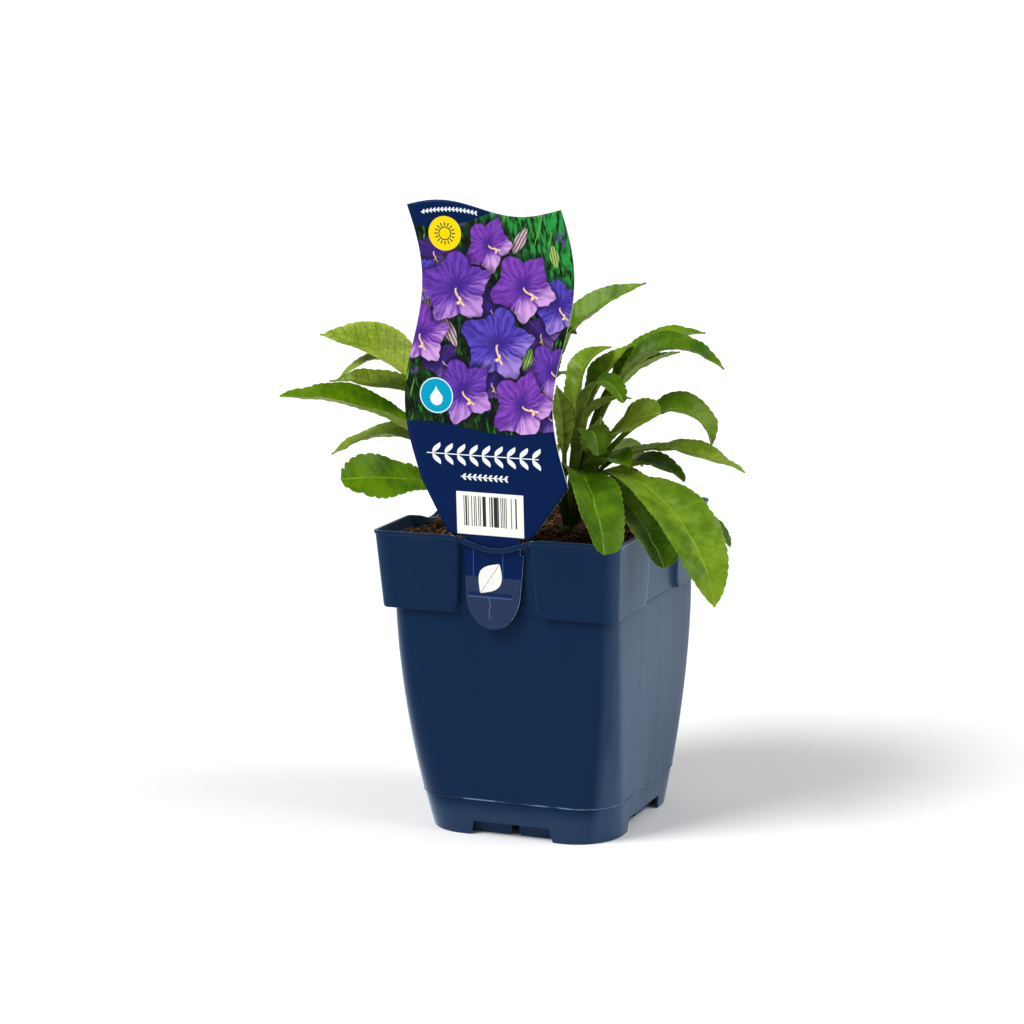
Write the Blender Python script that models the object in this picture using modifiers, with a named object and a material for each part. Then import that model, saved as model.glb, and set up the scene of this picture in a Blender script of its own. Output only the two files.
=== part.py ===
# Potted bellflower: leafy rosettes and a picture label in a square plastic pot.
# Metres, +Z up. The origin is the middle of the pot's base, and the label's side faces -Y.
import math
from collections import namedtuple
from itertools import product

import bmesh
import bpy
from mathutils import Matrix, Vector, noise

# Pot: a bulging body below a collar whose four recesses each take a label behind a strap
RIM_HALF = 0.0550
RIM_HEIGHT = 0.1315
COLLAR_HEIGHT = 0.0983
COLLAR_LEAN = 0.0633
COLLAR_CORNER = 0.0030
BODY_HALF = 0.0503
BODY_CORNER = 0.0080
BODY_TAPER = 0.0070
CORNER_GROWTH = 0.0120
TAPER_POWER = 1.75
SEAM_HEIGHT = 0.0160
SEAM_STEP = 0.0003
SEAM_EDGE = 0.0001
OUTSIDE_LEVELS = (0.032, 0.050, 0.072)
INSIDE_LEVELS = (0.064, 0.034)
WALL = 0.0012
LIP_HEIGHT = 0.0012
LIP_PROUD = 0.0005
RECESS_HALF_TOP = 0.0150
RECESS_HALF_FOOT = 0.0170
RECESS_FILLET = 0.0050
RECESS_SIDE = 0.0008
RECESS_PROUD = 0.0003
RECESS_LEAN = 0.0430
FILLET_MIDDLE = 0.3
DIP_DEPTH = 0.0044
DIP_HALF = 0.0220
DIP_SHOULDER = 0.0055
STRAP_HEIGHT = 0.0022
STRAP_SINK = 0.0020
STRAP_STEPS = 10
ARC_STEPS = 4

# Foot: a notched outer skirt round a set-back inner skirt, under a raised floor
FLOOR_HEIGHT = 0.0065
NOTCH_HALF = 0.0190
NOTCH_SLANT = 0.0015
NOTCH_HEIGHT = 0.0060
INNER_SKIRT_INSET = 0.0046
INNER_SKIRT_LIFT = 0.0003
INNER_GAP_HALF = 0.0023
INNER_GAP_HEIGHT = 0.0048
CENTRE_FOOT_RADIUS = 0.0080
DRAIN_RADIUS = 0.0035
DRAIN_SPREAD = 0.0240
ROUND_SIDES = 10

# Soil: it fills the pot to just under the rim and mounds up a little at the crowns
CLEARANCE = 0.0003
HOLE_CLEARANCE = 0.0006
SOIL_EDGE = 0.1246
SOIL_MOUND = 0.0022
SOIL_CLODS = 0.0048
CLOD_SCALE = 75.0
SOIL_RINGS = 5
SOIL_SHOULDER = 0.0120

# Label: one thin sheet, waved down both sides, with a tongue that hangs from the strap
LABEL_THICKNESS = 0.0006
LABEL_CENTRE = -0.0023
LABEL_DEPTH = -0.0527
NECK_HEIGHT = 0.1270
LABEL_LEAN = math.radians(2.4)
LABEL_ROLL = math.radians(0.8)
LABEL_CURL = 0.0022
LABEL_HALF = 0.03265
LABEL_TOP = 0.1397
LABEL_KNEE = 0.0270
LABEL_FOOT = 0.0052
LABEL_FOOT_HALF = 0.0190
WAVE_SHIFT = 0.0011
SIDE_WAVE = 0.0050
SIDE_WAVE_MIDDLE = 0.0850
SIDE_WAVE_LENGTH = 0.0535
TOP_WAVE = 0.0031
TOP_WAVE_LENGTH = 0.0340
NECK_HALF = 0.0120
NECK_TOP = 0.0039
TONGUE_SHIFT = 0.0012
TONGUE_HALF = 0.0136
TONGUE_TOP = -0.0026
TONGUE_LENGTH = 0.0341
TONGUE_ROUND = 0.0170
TONGUE_TAPER = 0.09
TONGUE_FULLNESS = 2.2
TONGUE_ROWS = (0.01, 0.08, 0.22, 0.45, 0.75, 1.0)
TONGUE_BEND = -0.0130
TONGUE_KICK = 0.10
LABEL_COLUMNS = 6
LABEL_ROWS = 14

# Leaves: a slim stalk, then a blade with rounded teeth, folded up along its midrib
BLADE_THICKNESS = 0.0006
STALK_THICKNESS = 0.0018
STALK_HALF = 0.0012
TIP_HALF = 0.0004
TOOTH_DEPTH = 0.09
TEETH = 7
BLUNT_WIDEST = 2.0
POINTED_WIDEST = 1.15
PINCH_PLACE = 0.30
PINCH_LENGTH = 0.13
THINNING = 0.15
STALK_ROWS = 2
LEAF_ROOT_HEIGHT = 0.1290
CROWN_RADIUS = 0.0052
CROWN_FOOT = 0.1150
CROWN_TOP = 0.1350
CROWN_TAPER = 0.8
CROWN_SIDES = 10
ROOT_SPREAD = 0.0026
RISE_REACH = 0.48
DROOP_REACH = 0.40
HANG_REACH = 0.18

# One leaf: where its tip is, the climb of its stalk and of its tip in degrees, its width,
# how far its right side (looking from root to tip) rolls up and its halves fold up in
# degrees, where the blade starts, how pointed it is (1 for a point, 0.5 for round), and
# how deep its left side is pinched in.
Leaf = namedtuple("Leaf", "tip rise droop width roll fold stalk point pinch", defaults=(0.0,))

ROSETTES = {
    "rosette_left": ((-0.016, 0.000), [
        Leaf((-0.091, -0.027, 0.209), 58, 6, 0.026, 32, 24, 0.36, 0.75),
        Leaf((-0.0845, -0.024, 0.1895), 40, -43, 0.011, 16, 20, 0.40, 0.75),
        Leaf((-0.094, -0.014, 0.187), 76, -4, 0.016, 25, 26, 0.36, 0.90),
        Leaf((-0.104, -0.041, 0.184), 53, 4, 0.020, 18, 32, 0.33, 0.65),
        Leaf((-0.094, -0.014, 0.155), 50, -31, 0.017, 16, 22, 0.33, 0.75),
        Leaf((-0.070, -0.053, 0.152), 34, 2, 0.023, 48, 10, 0.38, 0.40),
        Leaf((-0.046, 0.034, 0.200), 84, 10, 0.018, 0, 28, 0.36, 0.80),
        Leaf((-0.036, -0.040, 0.168), 78, -10, 0.018, 0, 26, 0.33, 0.75),
        Leaf((-0.066, 0.030, 0.147), 60, -25, 0.020, -6, 22, 0.30, 0.65),
    ]),
    "rosette_back": ((-0.012, 0.020), [
        Leaf((0.033, 0.038, 0.227), 112, 22, 0.020, -26, 30, 0.36, 0.85),
        Leaf((0.006, 0.025, 0.206), 89, -10, 0.020, 20, 20, 0.45, 0.50),
        Leaf((-0.030, 0.075, 0.188), 74, -20, 0.020, 0, 26, 0.33, 0.85),
        Leaf((0.012, 0.086, 0.138), 42, -38, 0.020, 8, 22, 0.36, 0.65),
        Leaf((-0.066, 0.066, 0.158), 64, -35, 0.021, -8, 22, 0.33, 0.80),
        Leaf((-0.012, 0.064, 0.207), 82, 4, 0.018, 0, 28, 0.42, 0.85),
        Leaf((-0.026, 0.058, 0.146), 54, -30, 0.021, 0, 20, 0.30, 0.55),
        Leaf((-0.007, 0.045, 0.185), 92, -20, 0.011, 0, 26, 0.48, 0.70),
        Leaf((-0.034, 0.020, 0.214), 86, 24, 0.017, 0, 30, 0.40, 0.90),
    ]),
    "rosette_right": ((0.011, -0.001), [
        Leaf((0.0235, 0.020, 0.2015), 82, 8, 0.014, 0, 22, 0.27, 0.65),
        Leaf((0.033, 0.021, 0.202), 84, 34, 0.017, 0, 26, 0.48, 0.60),
        Leaf((0.075, 0.018, 0.194), 86, -40, 0.018, -20, 28, 0.46, 0.80),
        Leaf((0.059, 0.040, 0.206), 84, -5, 0.015, -10, 30, 0.50, 0.85),
        Leaf((0.051, 0.030, 0.199), 80, 10, 0.017, 0, 26, 0.48, 0.75),
        Leaf((0.0415, -0.0125, 0.183), 100, -56, 0.012, -20, 20, 0.45, 0.55),
        Leaf((0.039, 0.003, 0.1825), 97, -5, 0.011, 0, 28, 0.42, 0.80),
        Leaf((0.061, -0.022, 0.181), 69, 15, 0.020, -48, 20, 0.46, 0.48),
        Leaf((0.070, 0.016, 0.1615), 84, -78, 0.020, -22, 26, 0.46, 0.70),
        Leaf((0.033, -0.017, 0.1775), 70, 78, 0.013, 0, 22, 0.60, 0.90),
        Leaf((0.088, 0.006, 0.153), 79, -25, 0.014, -14, 16, 0.42, 0.70),
        Leaf((0.036, -0.028, 0.163), 84, -75, 0.014, 0, 16, 0.45, 0.50),
        Leaf((0.047, -0.021, 0.158), 72, -16, 0.017, -10, 26, 0.42, 0.65),
        Leaf((0.052, -0.063, 0.1295), 104, -60, 0.023, 26, 22, 0.30, 0.30),
        Leaf((0.068, -0.038, 0.120), 92, -58, 0.027, 10, 18, 0.34, 0.36),
        Leaf((0.090, -0.039, 0.1055), 90, -80, 0.026, -24, 24, 0.30, 0.66, 0.60),
        Leaf((0.062, 0.004, 0.148), 55, -40, 0.015, -10, 22, 0.38, 0.55),
        Leaf((0.079, 0.013, 0.1195), 50, -48, 0.015, -12, 20, 0.30, 0.50),
        Leaf((0.050, -0.005, 0.140), 56, -45, 0.015, -10, 22, 0.40, 0.60),
        Leaf((0.010, -0.0085, 0.1885), 88, 70, 0.010, 0, 22, 0.45, 0.80),
        Leaf((0.004, -0.044, 0.150), 76, -30, 0.018, 0, 22, 0.30, 0.65),
    ]),
}


# Scene, collections and materials
def clear_scene():
    for thing in list(bpy.data.objects):
        bpy.data.objects.remove(thing)


def new_collection(name):
    collection = bpy.data.collections.new(name)
    bpy.context.scene.collection.children.link(collection)
    return collection


def new_material(name, colour, roughness):
    material = bpy.data.materials.new(name)
    material.use_nodes = True
    shader = material.node_tree.nodes["Principled BSDF"]
    shader.inputs["Base Color"].default_value = (*colour, 1.0)
    shader.inputs["Roughness"].default_value = roughness
    shader.inputs["Metallic"].default_value = 0.0
    material.diffuse_color = (*colour, 1.0)
    return material


def mesh_object(name, bm, collection, material=None):
    bmesh.ops.recalc_face_normals(bm, faces=bm.faces)
    mesh = bpy.data.meshes.new(name)
    bm.to_mesh(mesh)
    bm.free()
    thing = bpy.data.objects.new(name, mesh)
    collection.objects.link(thing)
    if material:
        mesh.materials.append(material)
    return thing


def add_cutter(name, bm, collection):
    cutter = mesh_object(name, bm, collection)
    cutter.hide_render = True
    cutter.display_type = "WIRE"
    return cutter


def add_boolean(thing, name, operation, operand):
    modifier = thing.modifiers.new(name, "BOOLEAN")
    modifier.operation = operation
    modifier.solver = "EXACT"
    modifier.operand_type = "COLLECTION"
    modifier.collection = operand


def fuse(thing, parts):
    """Joins a collection of parts to the object for good, and removes the parts."""
    add_boolean(thing, "fuse", "UNION", parts)
    depsgraph = bpy.context.evaluated_depsgraph_get()
    fused = bpy.data.meshes.new_from_object(thing.evaluated_get(depsgraph))
    thing.modifiers.clear()
    thing.data = fused
    for part in list(parts.objects):
        bpy.data.objects.remove(part)
    bpy.data.collections.remove(parts)


def loft(bm, rings, cap_first=True, cap_last=True):
    """Skins a run of closed rings that all have the same number of points."""
    loops = [[bm.verts.new(point) for point in ring] for ring in rings]
    for lower, upper in zip(loops, loops[1:]):
        for k in range(len(lower)):
            n = (k + 1) % len(lower)
            bm.faces.new((lower[k], lower[n], upper[n], upper[k]))
    if cap_first:
        bm.faces.new(list(reversed(loops[0])))
    if cap_last:
        bm.faces.new(loops[-1])


# The pot's section, as a ring of points at one height
def taper(z):
    """How far the body has narrowed at a height: 0 at the collar, 1 at the base."""
    return max(0.0, 1.0 - z / COLLAR_HEIGHT) ** TAPER_POWER


def body_half(z):
    step = SEAM_STEP if z < SEAM_HEIGHT else 0.0
    return BODY_HALF - BODY_TAPER * taper(z) - step


def body_corner(z):
    return BODY_CORNER + CORNER_GROWTH * taper(z)


def face_half(z):
    return RIM_HALF - COLLAR_LEAN * (RIM_HEIGHT - z)


def recess_half_width(z):
    """Half the recess's width, which spreads in a fillet at its lower corners."""
    share = (RIM_HEIGHT - z) / (RIM_HEIGHT - COLLAR_HEIGHT)
    straight = RECESS_HALF_TOP + (RECESS_HALF_FOOT - RECESS_HALF_TOP) * share
    down = min(1.0, max(0.0, (COLLAR_HEIGHT + RECESS_FILLET - z) / RECESS_FILLET))
    return straight + RECESS_FILLET * (1.0 - math.sqrt(1.0 - down * down))


def recess_depth_half(z):
    return BODY_HALF + RECESS_PROUD + RECESS_LEAN * (z - COLLAR_HEIGHT)


def rim_height(x):
    """The rim dips in the middle of each side, over the recess."""
    if abs(x) >= DIP_HALF:
        return RIM_HEIGHT
    return RIM_HEIGHT - DIP_DEPTH * 0.5 * (1.0 + math.cos(math.pi * x / DIP_HALF))


def side_columns(recess):
    inner = [recess, recess + RECESS_SIDE, recess + RECESS_SIDE + DIP_SHOULDER]
    return [-x for x in reversed(inner)] + [-recess / 2, 0.0, recess / 2] + inner


def four_sides(side_points, half, corner, height_at):
    """Repeats one side's points and corner arc round the pot. A point is (along, out)."""
    centre = half - corner
    points = [(-centre, half)] + side_points
    for k in range(ARC_STEPS):
        angle = math.radians(90.0 * k / ARC_STEPS)
        points.append((centre + corner * math.sin(angle), centre + corner * math.cos(angle)))
    ring = []
    for turn in range(4):
        rotation = Matrix.Rotation(math.radians(90.0 * turn), 3, "Z")
        for x, out in points:
            place = rotation @ Vector((x, -out, 0.0))
            ring.append(Vector((place.x, place.y, height_at(x, place))))
    return ring


def body_ring(z, inset=0.0):
    half = body_half(z) - inset
    corner = body_corner(z) - inset
    top_edge = BODY_HALF - BODY_CORNER
    spread = (half - corner) / top_edge
    columns = side_columns(recess_half_width(COLLAR_HEIGHT) + inset)
    side = [(x * spread, half) for x in columns]
    return four_sides(side, half, corner, lambda x, place: z)


def collar_ring(below_rim, z=None, inset=0.0, proud=0.0):
    """A ring of the collar: at height z, or measured down from the dipping rim."""
    level = RIM_HEIGHT - below_rim if z is None else z
    half = face_half(level) - inset + proud
    recess = recess_half_width(level - inset) + inset
    deep = recess_depth_half(level) - inset
    side = [(x, deep if abs(x) < recess + RECESS_SIDE / 2 else half) for x in side_columns(recess)]

    def height(x, place):
        return rim_height(x) - below_rim if z is None else z

    return four_sides(side, half, max(COLLAR_CORNER - inset, WALL) + proud, height)


# The pot
def pot_shell():
    """The skirt, body, collar, rim, inside and floor, as one closed skin."""
    fillet_mid = COLLAR_HEIGHT + FILLET_MIDDLE * RECESS_FILLET
    fillet_top = COLLAR_HEIGHT + RECESS_FILLET
    outside = [body_ring(z) for z in (0.0, SEAM_HEIGHT - SEAM_EDGE, SEAM_HEIGHT)]
    outside += [body_ring(z) for z in (*OUTSIDE_LEVELS, COLLAR_HEIGHT)]
    outside += [collar_ring(0.0, z) for z in (COLLAR_HEIGHT, fillet_mid, fillet_top)]
    outside += [collar_ring(LIP_HEIGHT), collar_ring(LIP_HEIGHT, proud=LIP_PROUD)]
    outside += [collar_ring(0.0, proud=LIP_PROUD)]
    inside = [collar_ring(0.0, inset=WALL)]
    inside += [collar_ring(0.0, z + WALL, WALL) for z in (fillet_top, fillet_mid, COLLAR_HEIGHT)]
    inside += [body_ring(COLLAR_HEIGHT + WALL, WALL)]
    inside += [body_ring(z, WALL) for z in (*INSIDE_LEVELS, FLOOR_HEIGHT + WALL)]
    underside = [body_ring(FLOOR_HEIGHT, WALL), body_ring(0.0, WALL)]
    bm = bmesh.new()
    loft(bm, underside + outside + inside)
    return bm


def add_straps(parts):
    """One strap bridges each recess, level with the face of the collar."""
    reach = RECESS_HALF_TOP + RECESS_SIDE + STRAP_SINK
    for turn in range(4):
        bm = bmesh.new()
        bmesh.ops.create_grid(bm, x_segments=STRAP_STEPS, y_segments=1, size=1.0)
        for vert in bm.verts:
            x = vert.co.x * reach
            z = rim_height(x) - (0.0 if vert.co.y > 0 else STRAP_HEIGHT)
            vert.co = (x, WALL / 2 - face_half(z), z)
        strap = mesh_object("strap", bm, parts)
        strap.rotation_euler.z = math.radians(90.0 * turn)
        thicken(strap, WALL, 0.0)


def thicken(thing, thickness, offset):
    solidify = thing.modifiers.new("thickness", "SOLIDIFY")
    solidify.thickness = thickness
    solidify.offset = offset
    solidify.use_even_offset = True
    return solidify


def add_foot(parts):
    """The set-back inner skirt and the round middle foot, both under the floor."""
    bm = bmesh.new()
    inset = INNER_SKIRT_INSET
    rings = [body_ring(INNER_SKIRT_LIFT, inset), body_ring(FLOOR_HEIGHT + WALL / 2, inset)]
    loft(bm, rings, cap_first=False, cap_last=False)
    skirt = mesh_object("inner skirt", bm, parts)
    thicken(skirt, WALL, -1.0)
    bm = bmesh.new()
    depth = FLOOR_HEIGHT + WALL / 2
    place = Matrix.Translation((0.0, 0.0, depth / 2))
    bmesh.ops.create_cone(bm, cap_ends=True, segments=ROUND_SIDES, radius1=CENTRE_FOOT_RADIUS,
                          radius2=CENTRE_FOOT_RADIUS, depth=depth, matrix=place)
    mesh_object("centre foot", bm, parts)


def add_notch(name, turn, half, slant, low, high, near, far):
    """A cutter through one side of a skirt, narrower at its top."""
    bm = bmesh.new()
    bmesh.ops.create_cube(bm, size=1.0)
    for vert in bm.verts:
        top = vert.co.z > 0
        reach = half - (slant if top else 0.0)
        out = far if vert.co.y < 0 else near
        vert.co = (math.copysign(reach, vert.co.x), -out, high if top else low)
    cutter = add_cutter(name, bm, POT_CUTTERS)
    cutter.rotation_euler.z = math.radians(90.0 * turn)


def add_pot_cutters():
    """Foot notches, the gaps behind them and the drain holes."""
    skirt = body_half(0.0)
    below = -0.001
    for turn in range(4):
        add_notch("notch", turn, NOTCH_HALF, NOTCH_SLANT, below, NOTCH_HEIGHT,
                  skirt - 2 * WALL, skirt + WALL)
        add_notch("gap", turn, INNER_GAP_HALF, NOTCH_SLANT / 3, below, INNER_GAP_HEIGHT,
                  skirt - INNER_SKIRT_INSET - 2 * WALL, skirt - INNER_SKIRT_INSET + WALL / 2)
    for x, y in product((-1, 0, 1), repeat=2):
        if (x, y) == (0, 0):
            continue
        bm = bmesh.new()
        place = Matrix.Translation((x * DRAIN_SPREAD, y * DRAIN_SPREAD, FLOOR_HEIGHT))
        bmesh.ops.create_cone(bm, cap_ends=True, segments=ROUND_SIDES, radius1=DRAIN_RADIUS,
                              radius2=DRAIN_RADIUS, depth=4 * WALL, matrix=place)
        add_cutter("drain", bm, POT_CUTTERS)


def build_pot(collection):
    material = new_material("pot_plastic", (0.010, 0.034, 0.085), 0.38)
    pot = mesh_object("pot", pot_shell(), collection, material)
    parts = new_collection("pot parts")
    add_straps(parts)
    add_foot(parts)
    bpy.context.view_layer.update()
    fuse(pot, parts)
    add_pot_cutters()
    add_boolean(pot, "notches and drains", "DIFFERENCE", POT_CUTTERS)


# The soil
def soil_height(x, y):
    """A low mound with clods, level at the pot's wall and round the crowns."""
    from_wall = (RIM_HALF - max(abs(x), abs(y))) / SOIL_SHOULDER
    from_crown = min(math.hypot(x - cx, y - cy) for (cx, cy), _ in ROSETTES.values())
    share = min(1.0, from_wall, (from_crown - CROWN_RADIUS) / SOIL_SHOULDER)
    clods = SOIL_CLODS * noise.noise(Vector((x, y, 0.0)) * CLOD_SCALE)
    return SOIL_EDGE + max(0.0, share) * (SOIL_MOUND + clods)


def build_soil(collection):
    material = new_material("soil_peat", (0.055, 0.030, 0.014), 0.95)
    inset = WALL + CLEARANCE
    ledge = COLLAR_HEIGHT + inset
    rings = [body_ring(z, inset) for z in (FLOOR_HEIGHT + inset, *reversed(INSIDE_LEVELS))]
    rings += [body_ring(ledge, inset), collar_ring(0.0, ledge, inset)]
    rings += [collar_ring(0.0, ledge + RECESS_FILLET, inset), collar_ring(0.0, SOIL_EDGE, inset)]
    plain = recess_depth_half(SOIL_EDGE) - inset - WALL
    side = [(x, plain) for x in side_columns(recess_half_width(SOIL_EDGE) + inset)]
    for k in range(SOIL_RINGS):
        share = 1.0 - k / SOIL_RINGS
        columns = [(x * share, out * share) for x, out in side]
        rings.append(four_sides(columns, plain * share, COLLAR_CORNER * share,
                                lambda x, place: soil_height(place.x, place.y)))
    bm = bmesh.new()
    loft(bm, rings)
    bmesh.ops.triangulate(bm, faces=bm.faces)
    soil = mesh_object("potting_soil", bm, collection, material)
    holes = new_collection("soil_cutters")
    for (x, y), _ in ROSETTES.values():
        bm = bmesh.new()
        depth = RIM_HEIGHT - CROWN_FOOT
        radius = CROWN_RADIUS + HOLE_CLEARANCE
        place = Matrix.Translation((x, y, CROWN_FOOT - CLEARANCE + depth / 2))
        bmesh.ops.create_cone(bm, cap_ends=True, segments=CROWN_SIDES, radius1=radius,
                              radius2=radius, depth=depth, matrix=place)
        add_cutter("crown hole", bm, holes)
    add_boolean(soil, "crown holes", "DIFFERENCE", holes)


# The label
def label_edges(up):
    """The label's left and right edges at a height along it, from the neck up."""
    if up >= LABEL_KNEE:
        shift = WAVE_SHIFT + SIDE_WAVE * math.sin(math.pi * (up - SIDE_WAVE_MIDDLE) / SIDE_WAVE_LENGTH)
        return shift - LABEL_HALF, shift + LABEL_HALF
    left_knee, right_knee = label_edges(LABEL_KNEE)
    share = max(0.0, (up - LABEL_FOOT) / (LABEL_KNEE - LABEL_FOOT))
    return (-LABEL_FOOT_HALF + (left_knee + LABEL_FOOT_HALF) * share,
            LABEL_FOOT_HALF + (right_knee - LABEL_FOOT_HALF) * share)


def tongue_half(up):
    """Half the tongue's width at a height below the neck, rounded off at its tip."""
    above_tip = up + TONGUE_LENGTH
    if above_tip >= TONGUE_ROUND:
        return TONGUE_HALF - TONGUE_TAPER * (TONGUE_TOP - up)
    full = TONGUE_HALF - TONGUE_TAPER * (TONGUE_LENGTH - TONGUE_ROUND + TONGUE_TOP)
    share = 1.0 - above_tip / TONGUE_ROUND
    return full * math.sqrt(max(0.0, 1.0 - share ** TONGUE_FULLNESS))


def place_on_label(across, up):
    """Carries a point of the flat label to its place in the pot."""
    roll = across * math.cos(LABEL_ROLL) + up * math.sin(LABEL_ROLL)
    rise = up * math.cos(LABEL_ROLL) - across * math.sin(LABEL_ROLL)
    lean = math.tan(LABEL_LEAN) * rise if up >= 0.0 else 0.0
    curl = LABEL_CURL * max(0.0, rise / LABEL_TOP) ** 2 * (across / LABEL_HALF)
    kick = TONGUE_KICK * max(0.0, TONGUE_BEND - up)
    return Vector((LABEL_CENTRE + roll, LABEL_DEPTH - lean + curl - kick, NECK_HEIGHT + rise))


def label_rows():
    """Rows of the label from the tongue's tip to its top: (left, right, height) each."""
    rows = []
    tip = -TONGUE_LENGTH
    for share in TONGUE_ROWS:
        up = tip + TONGUE_ROUND * share
        rows.append((-tongue_half(up), tongue_half(up), up))
    for up in (TONGUE_BEND, TONGUE_TOP):
        rows.append((-tongue_half(up), tongue_half(up), up))
    rows.append((-NECK_HALF, NECK_HALF, TONGUE_TOP + LABEL_THICKNESS))
    rows.append((-NECK_HALF, NECK_HALF, NECK_TOP))
    rows = [(left + TONGUE_SHIFT, right + TONGUE_SHIFT, up) for left, right, up in rows]
    for share in (0.0, 0.5):
        up = LABEL_FOOT + (LABEL_KNEE - LABEL_FOOT) * share
        rows.append((*label_edges(up), up))
    for k in range(LABEL_ROWS + 1):
        up = LABEL_KNEE + (LABEL_TOP - LABEL_KNEE) * k / LABEL_ROWS
        rows.append((*label_edges(up), up))
    return rows


def build_label(collection):
    material = new_material("label_print", (0.010, 0.035, 0.120), 0.30)
    bm = bmesh.new()
    grid = []
    for left, right, up in label_rows():
        row = []
        for k in range(LABEL_COLUMNS + 1):
            across = left + (right - left) * k / LABEL_COLUMNS
            crest = -TOP_WAVE * math.sin(math.pi * (across + WAVE_SHIFT) / TOP_WAVE_LENGTH)
            share = max(0.0, (up - LABEL_KNEE) / (LABEL_TOP - LABEL_KNEE))
            row.append(bm.verts.new(place_on_label(across, up + crest * share ** 3)))
        grid.append(row)
    for lower, upper in zip(grid, grid[1:]):
        for k in range(LABEL_COLUMNS):
            bm.faces.new((lower[k], lower[k + 1], upper[k + 1], upper[k]))
    bmesh.ops.triangulate(bm, faces=bm.faces, quad_method="SHORT_EDGE")
    label = mesh_object("plant_label", bm, collection, material)
    thicken(label, LABEL_THICKNESS, 0.0)


# The leaves
def bezier(points, t):
    a, b, c, d = points
    s = 1.0 - t
    return a * s ** 3 + b * 3 * s * s * t + c * 3 * s * t * t + d * t ** 3


def leaf_path(leaf, crown):
    """The four points of the midrib's curve, from inside the crown to the leaf's tip."""
    tip = Vector(leaf.tip)
    heading = Vector((tip.x - crown[0], tip.y - crown[1], 0.0)).normalized()
    root = Vector((crown[0], crown[1], LEAF_ROOT_HEIGHT)) + heading * ROOT_SPREAD
    chord = (tip - root).length
    rise = math.radians(leaf.rise)
    droop = math.radians(leaf.droop)
    climb = heading * math.cos(rise) + Vector((0.0, 0.0, math.sin(rise)))
    fall = heading * math.cos(droop) + Vector((0.0, 0.0, math.sin(droop)))
    reach = DROOP_REACH + HANG_REACH * max(0.0, -math.sin(droop))
    return root, root + climb * chord * RISE_REACH, tip - fall * chord * reach, tip


def half_width(leaf, t, side):
    """Width of the blade's left (negative) or right side at t, with rounded teeth."""
    along = (t - leaf.stalk) / (1.0 - leaf.stalk)
    if along <= 0.0:
        return STALK_HALF
    widest = BLUNT_WIDEST + (POINTED_WIDEST - BLUNT_WIDEST) * leaf.point
    outline = math.sin(math.pi * min(1.0, along) ** widest) ** leaf.point
    if side < 0:
        outline *= 1.0 - leaf.pinch * math.exp(-((along - PINCH_PLACE) / PINCH_LENGTH) ** 2)
    tooth = 1.0 - TOOTH_DEPTH * (1.0 - abs(math.sin(math.pi * TEETH * along)))
    end = STALK_HALF + (TIP_HALF - STALK_HALF) * along
    return end + leaf.width / 2 * outline * tooth


def leaf_point(leaf, path, across, t):
    """A point of the leaf's middle surface, with across from -1 to 1 and t from root to tip."""
    step = 0.01
    here = bezier(path, t)
    tangent = (bezier(path, min(1.0, t + step)) - bezier(path, max(0.0, t - step))).normalized()
    heading = path[3] - path[0]
    right = Vector((heading.y, -heading.x, 0.0)).normalized()
    turn = Matrix.Rotation(math.radians(-leaf.roll) * t, 3, tangent)
    right = turn @ right
    up = right.cross(tangent)
    fold = math.radians(leaf.fold)
    half = half_width(leaf, t, across)
    return here + right * (across * half * math.cos(fold)) + up * (abs(across) * half * math.sin(fold))


def add_leaf(leaf, crown, parts):
    """A folded blade on its stalk, as a strip three points wide, thickened afterwards."""
    path = leaf_path(leaf, crown)
    rows = STALK_ROWS + 2 * TEETH
    bm = bmesh.new()
    bmesh.ops.create_grid(bm, x_segments=2, y_segments=rows, size=1.0)
    thickness = {}
    for vert in bm.verts:
        row = round((vert.co.y + 1.0) / 2 * rows)
        if row < STALK_ROWS:
            t = leaf.stalk * row / STALK_ROWS
        else:
            t = leaf.stalk + (1.0 - leaf.stalk) * (row - STALK_ROWS) / (2 * TEETH)
        vert.co = leaf_point(leaf, path, vert.co.x, t)
        thickness[vert.index] = max(0.0, 1.0 - t / (leaf.stalk + THINNING))
    bmesh.ops.triangulate(bm, faces=bm.faces, quad_method="SHORT_EDGE")
    blade = mesh_object("leaf", bm, parts)
    group = blade.vertex_groups.new(name="stalk")
    for index, weight in thickness.items():
        group.add([index], weight, "REPLACE")
    solidify = thicken(blade, STALK_THICKNESS, 0.0)
    solidify.vertex_group = group.name
    solidify.thickness_vertex_group = BLADE_THICKNESS / STALK_THICKNESS


def build_rosette(name, crown, leaves, collection, material):
    """One crown in the soil with its leaves fused into it."""
    bm = bmesh.new()
    depth = CROWN_TOP - CROWN_FOOT
    place = Matrix.Translation((*crown, CROWN_FOOT + depth / 2))
    bmesh.ops.create_cone(bm, cap_ends=True, segments=CROWN_SIDES, radius1=CROWN_RADIUS,
                          radius2=CROWN_RADIUS * CROWN_TAPER, depth=depth, matrix=place)
    rosette = mesh_object(name, bm, collection, material)
    parts = new_collection(name + " leaves")
    for leaf in leaves:
        add_leaf(leaf, crown, parts)
    bpy.context.view_layer.update()
    fuse(rosette, parts)


clear_scene()
POT_CUTTERS = new_collection("pot_cutters")
PLANT = new_collection("potted_bellflower")
build_pot(PLANT)
build_soil(PLANT)
build_label(PLANT)
LEAF_GREEN = new_material("leaf_green", (0.085, 0.210, 0.012), 0.45)
for rosette_name, (crown_place, leaf_list) in ROSETTES.items():
    build_rosette(rosette_name, crown_place, leaf_list, PLANT, LEAF_GREEN)
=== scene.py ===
import math
import random
from collections import namedtuple

import bmesh
import bpy
from mathutils import Matrix, Vector, noise


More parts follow.
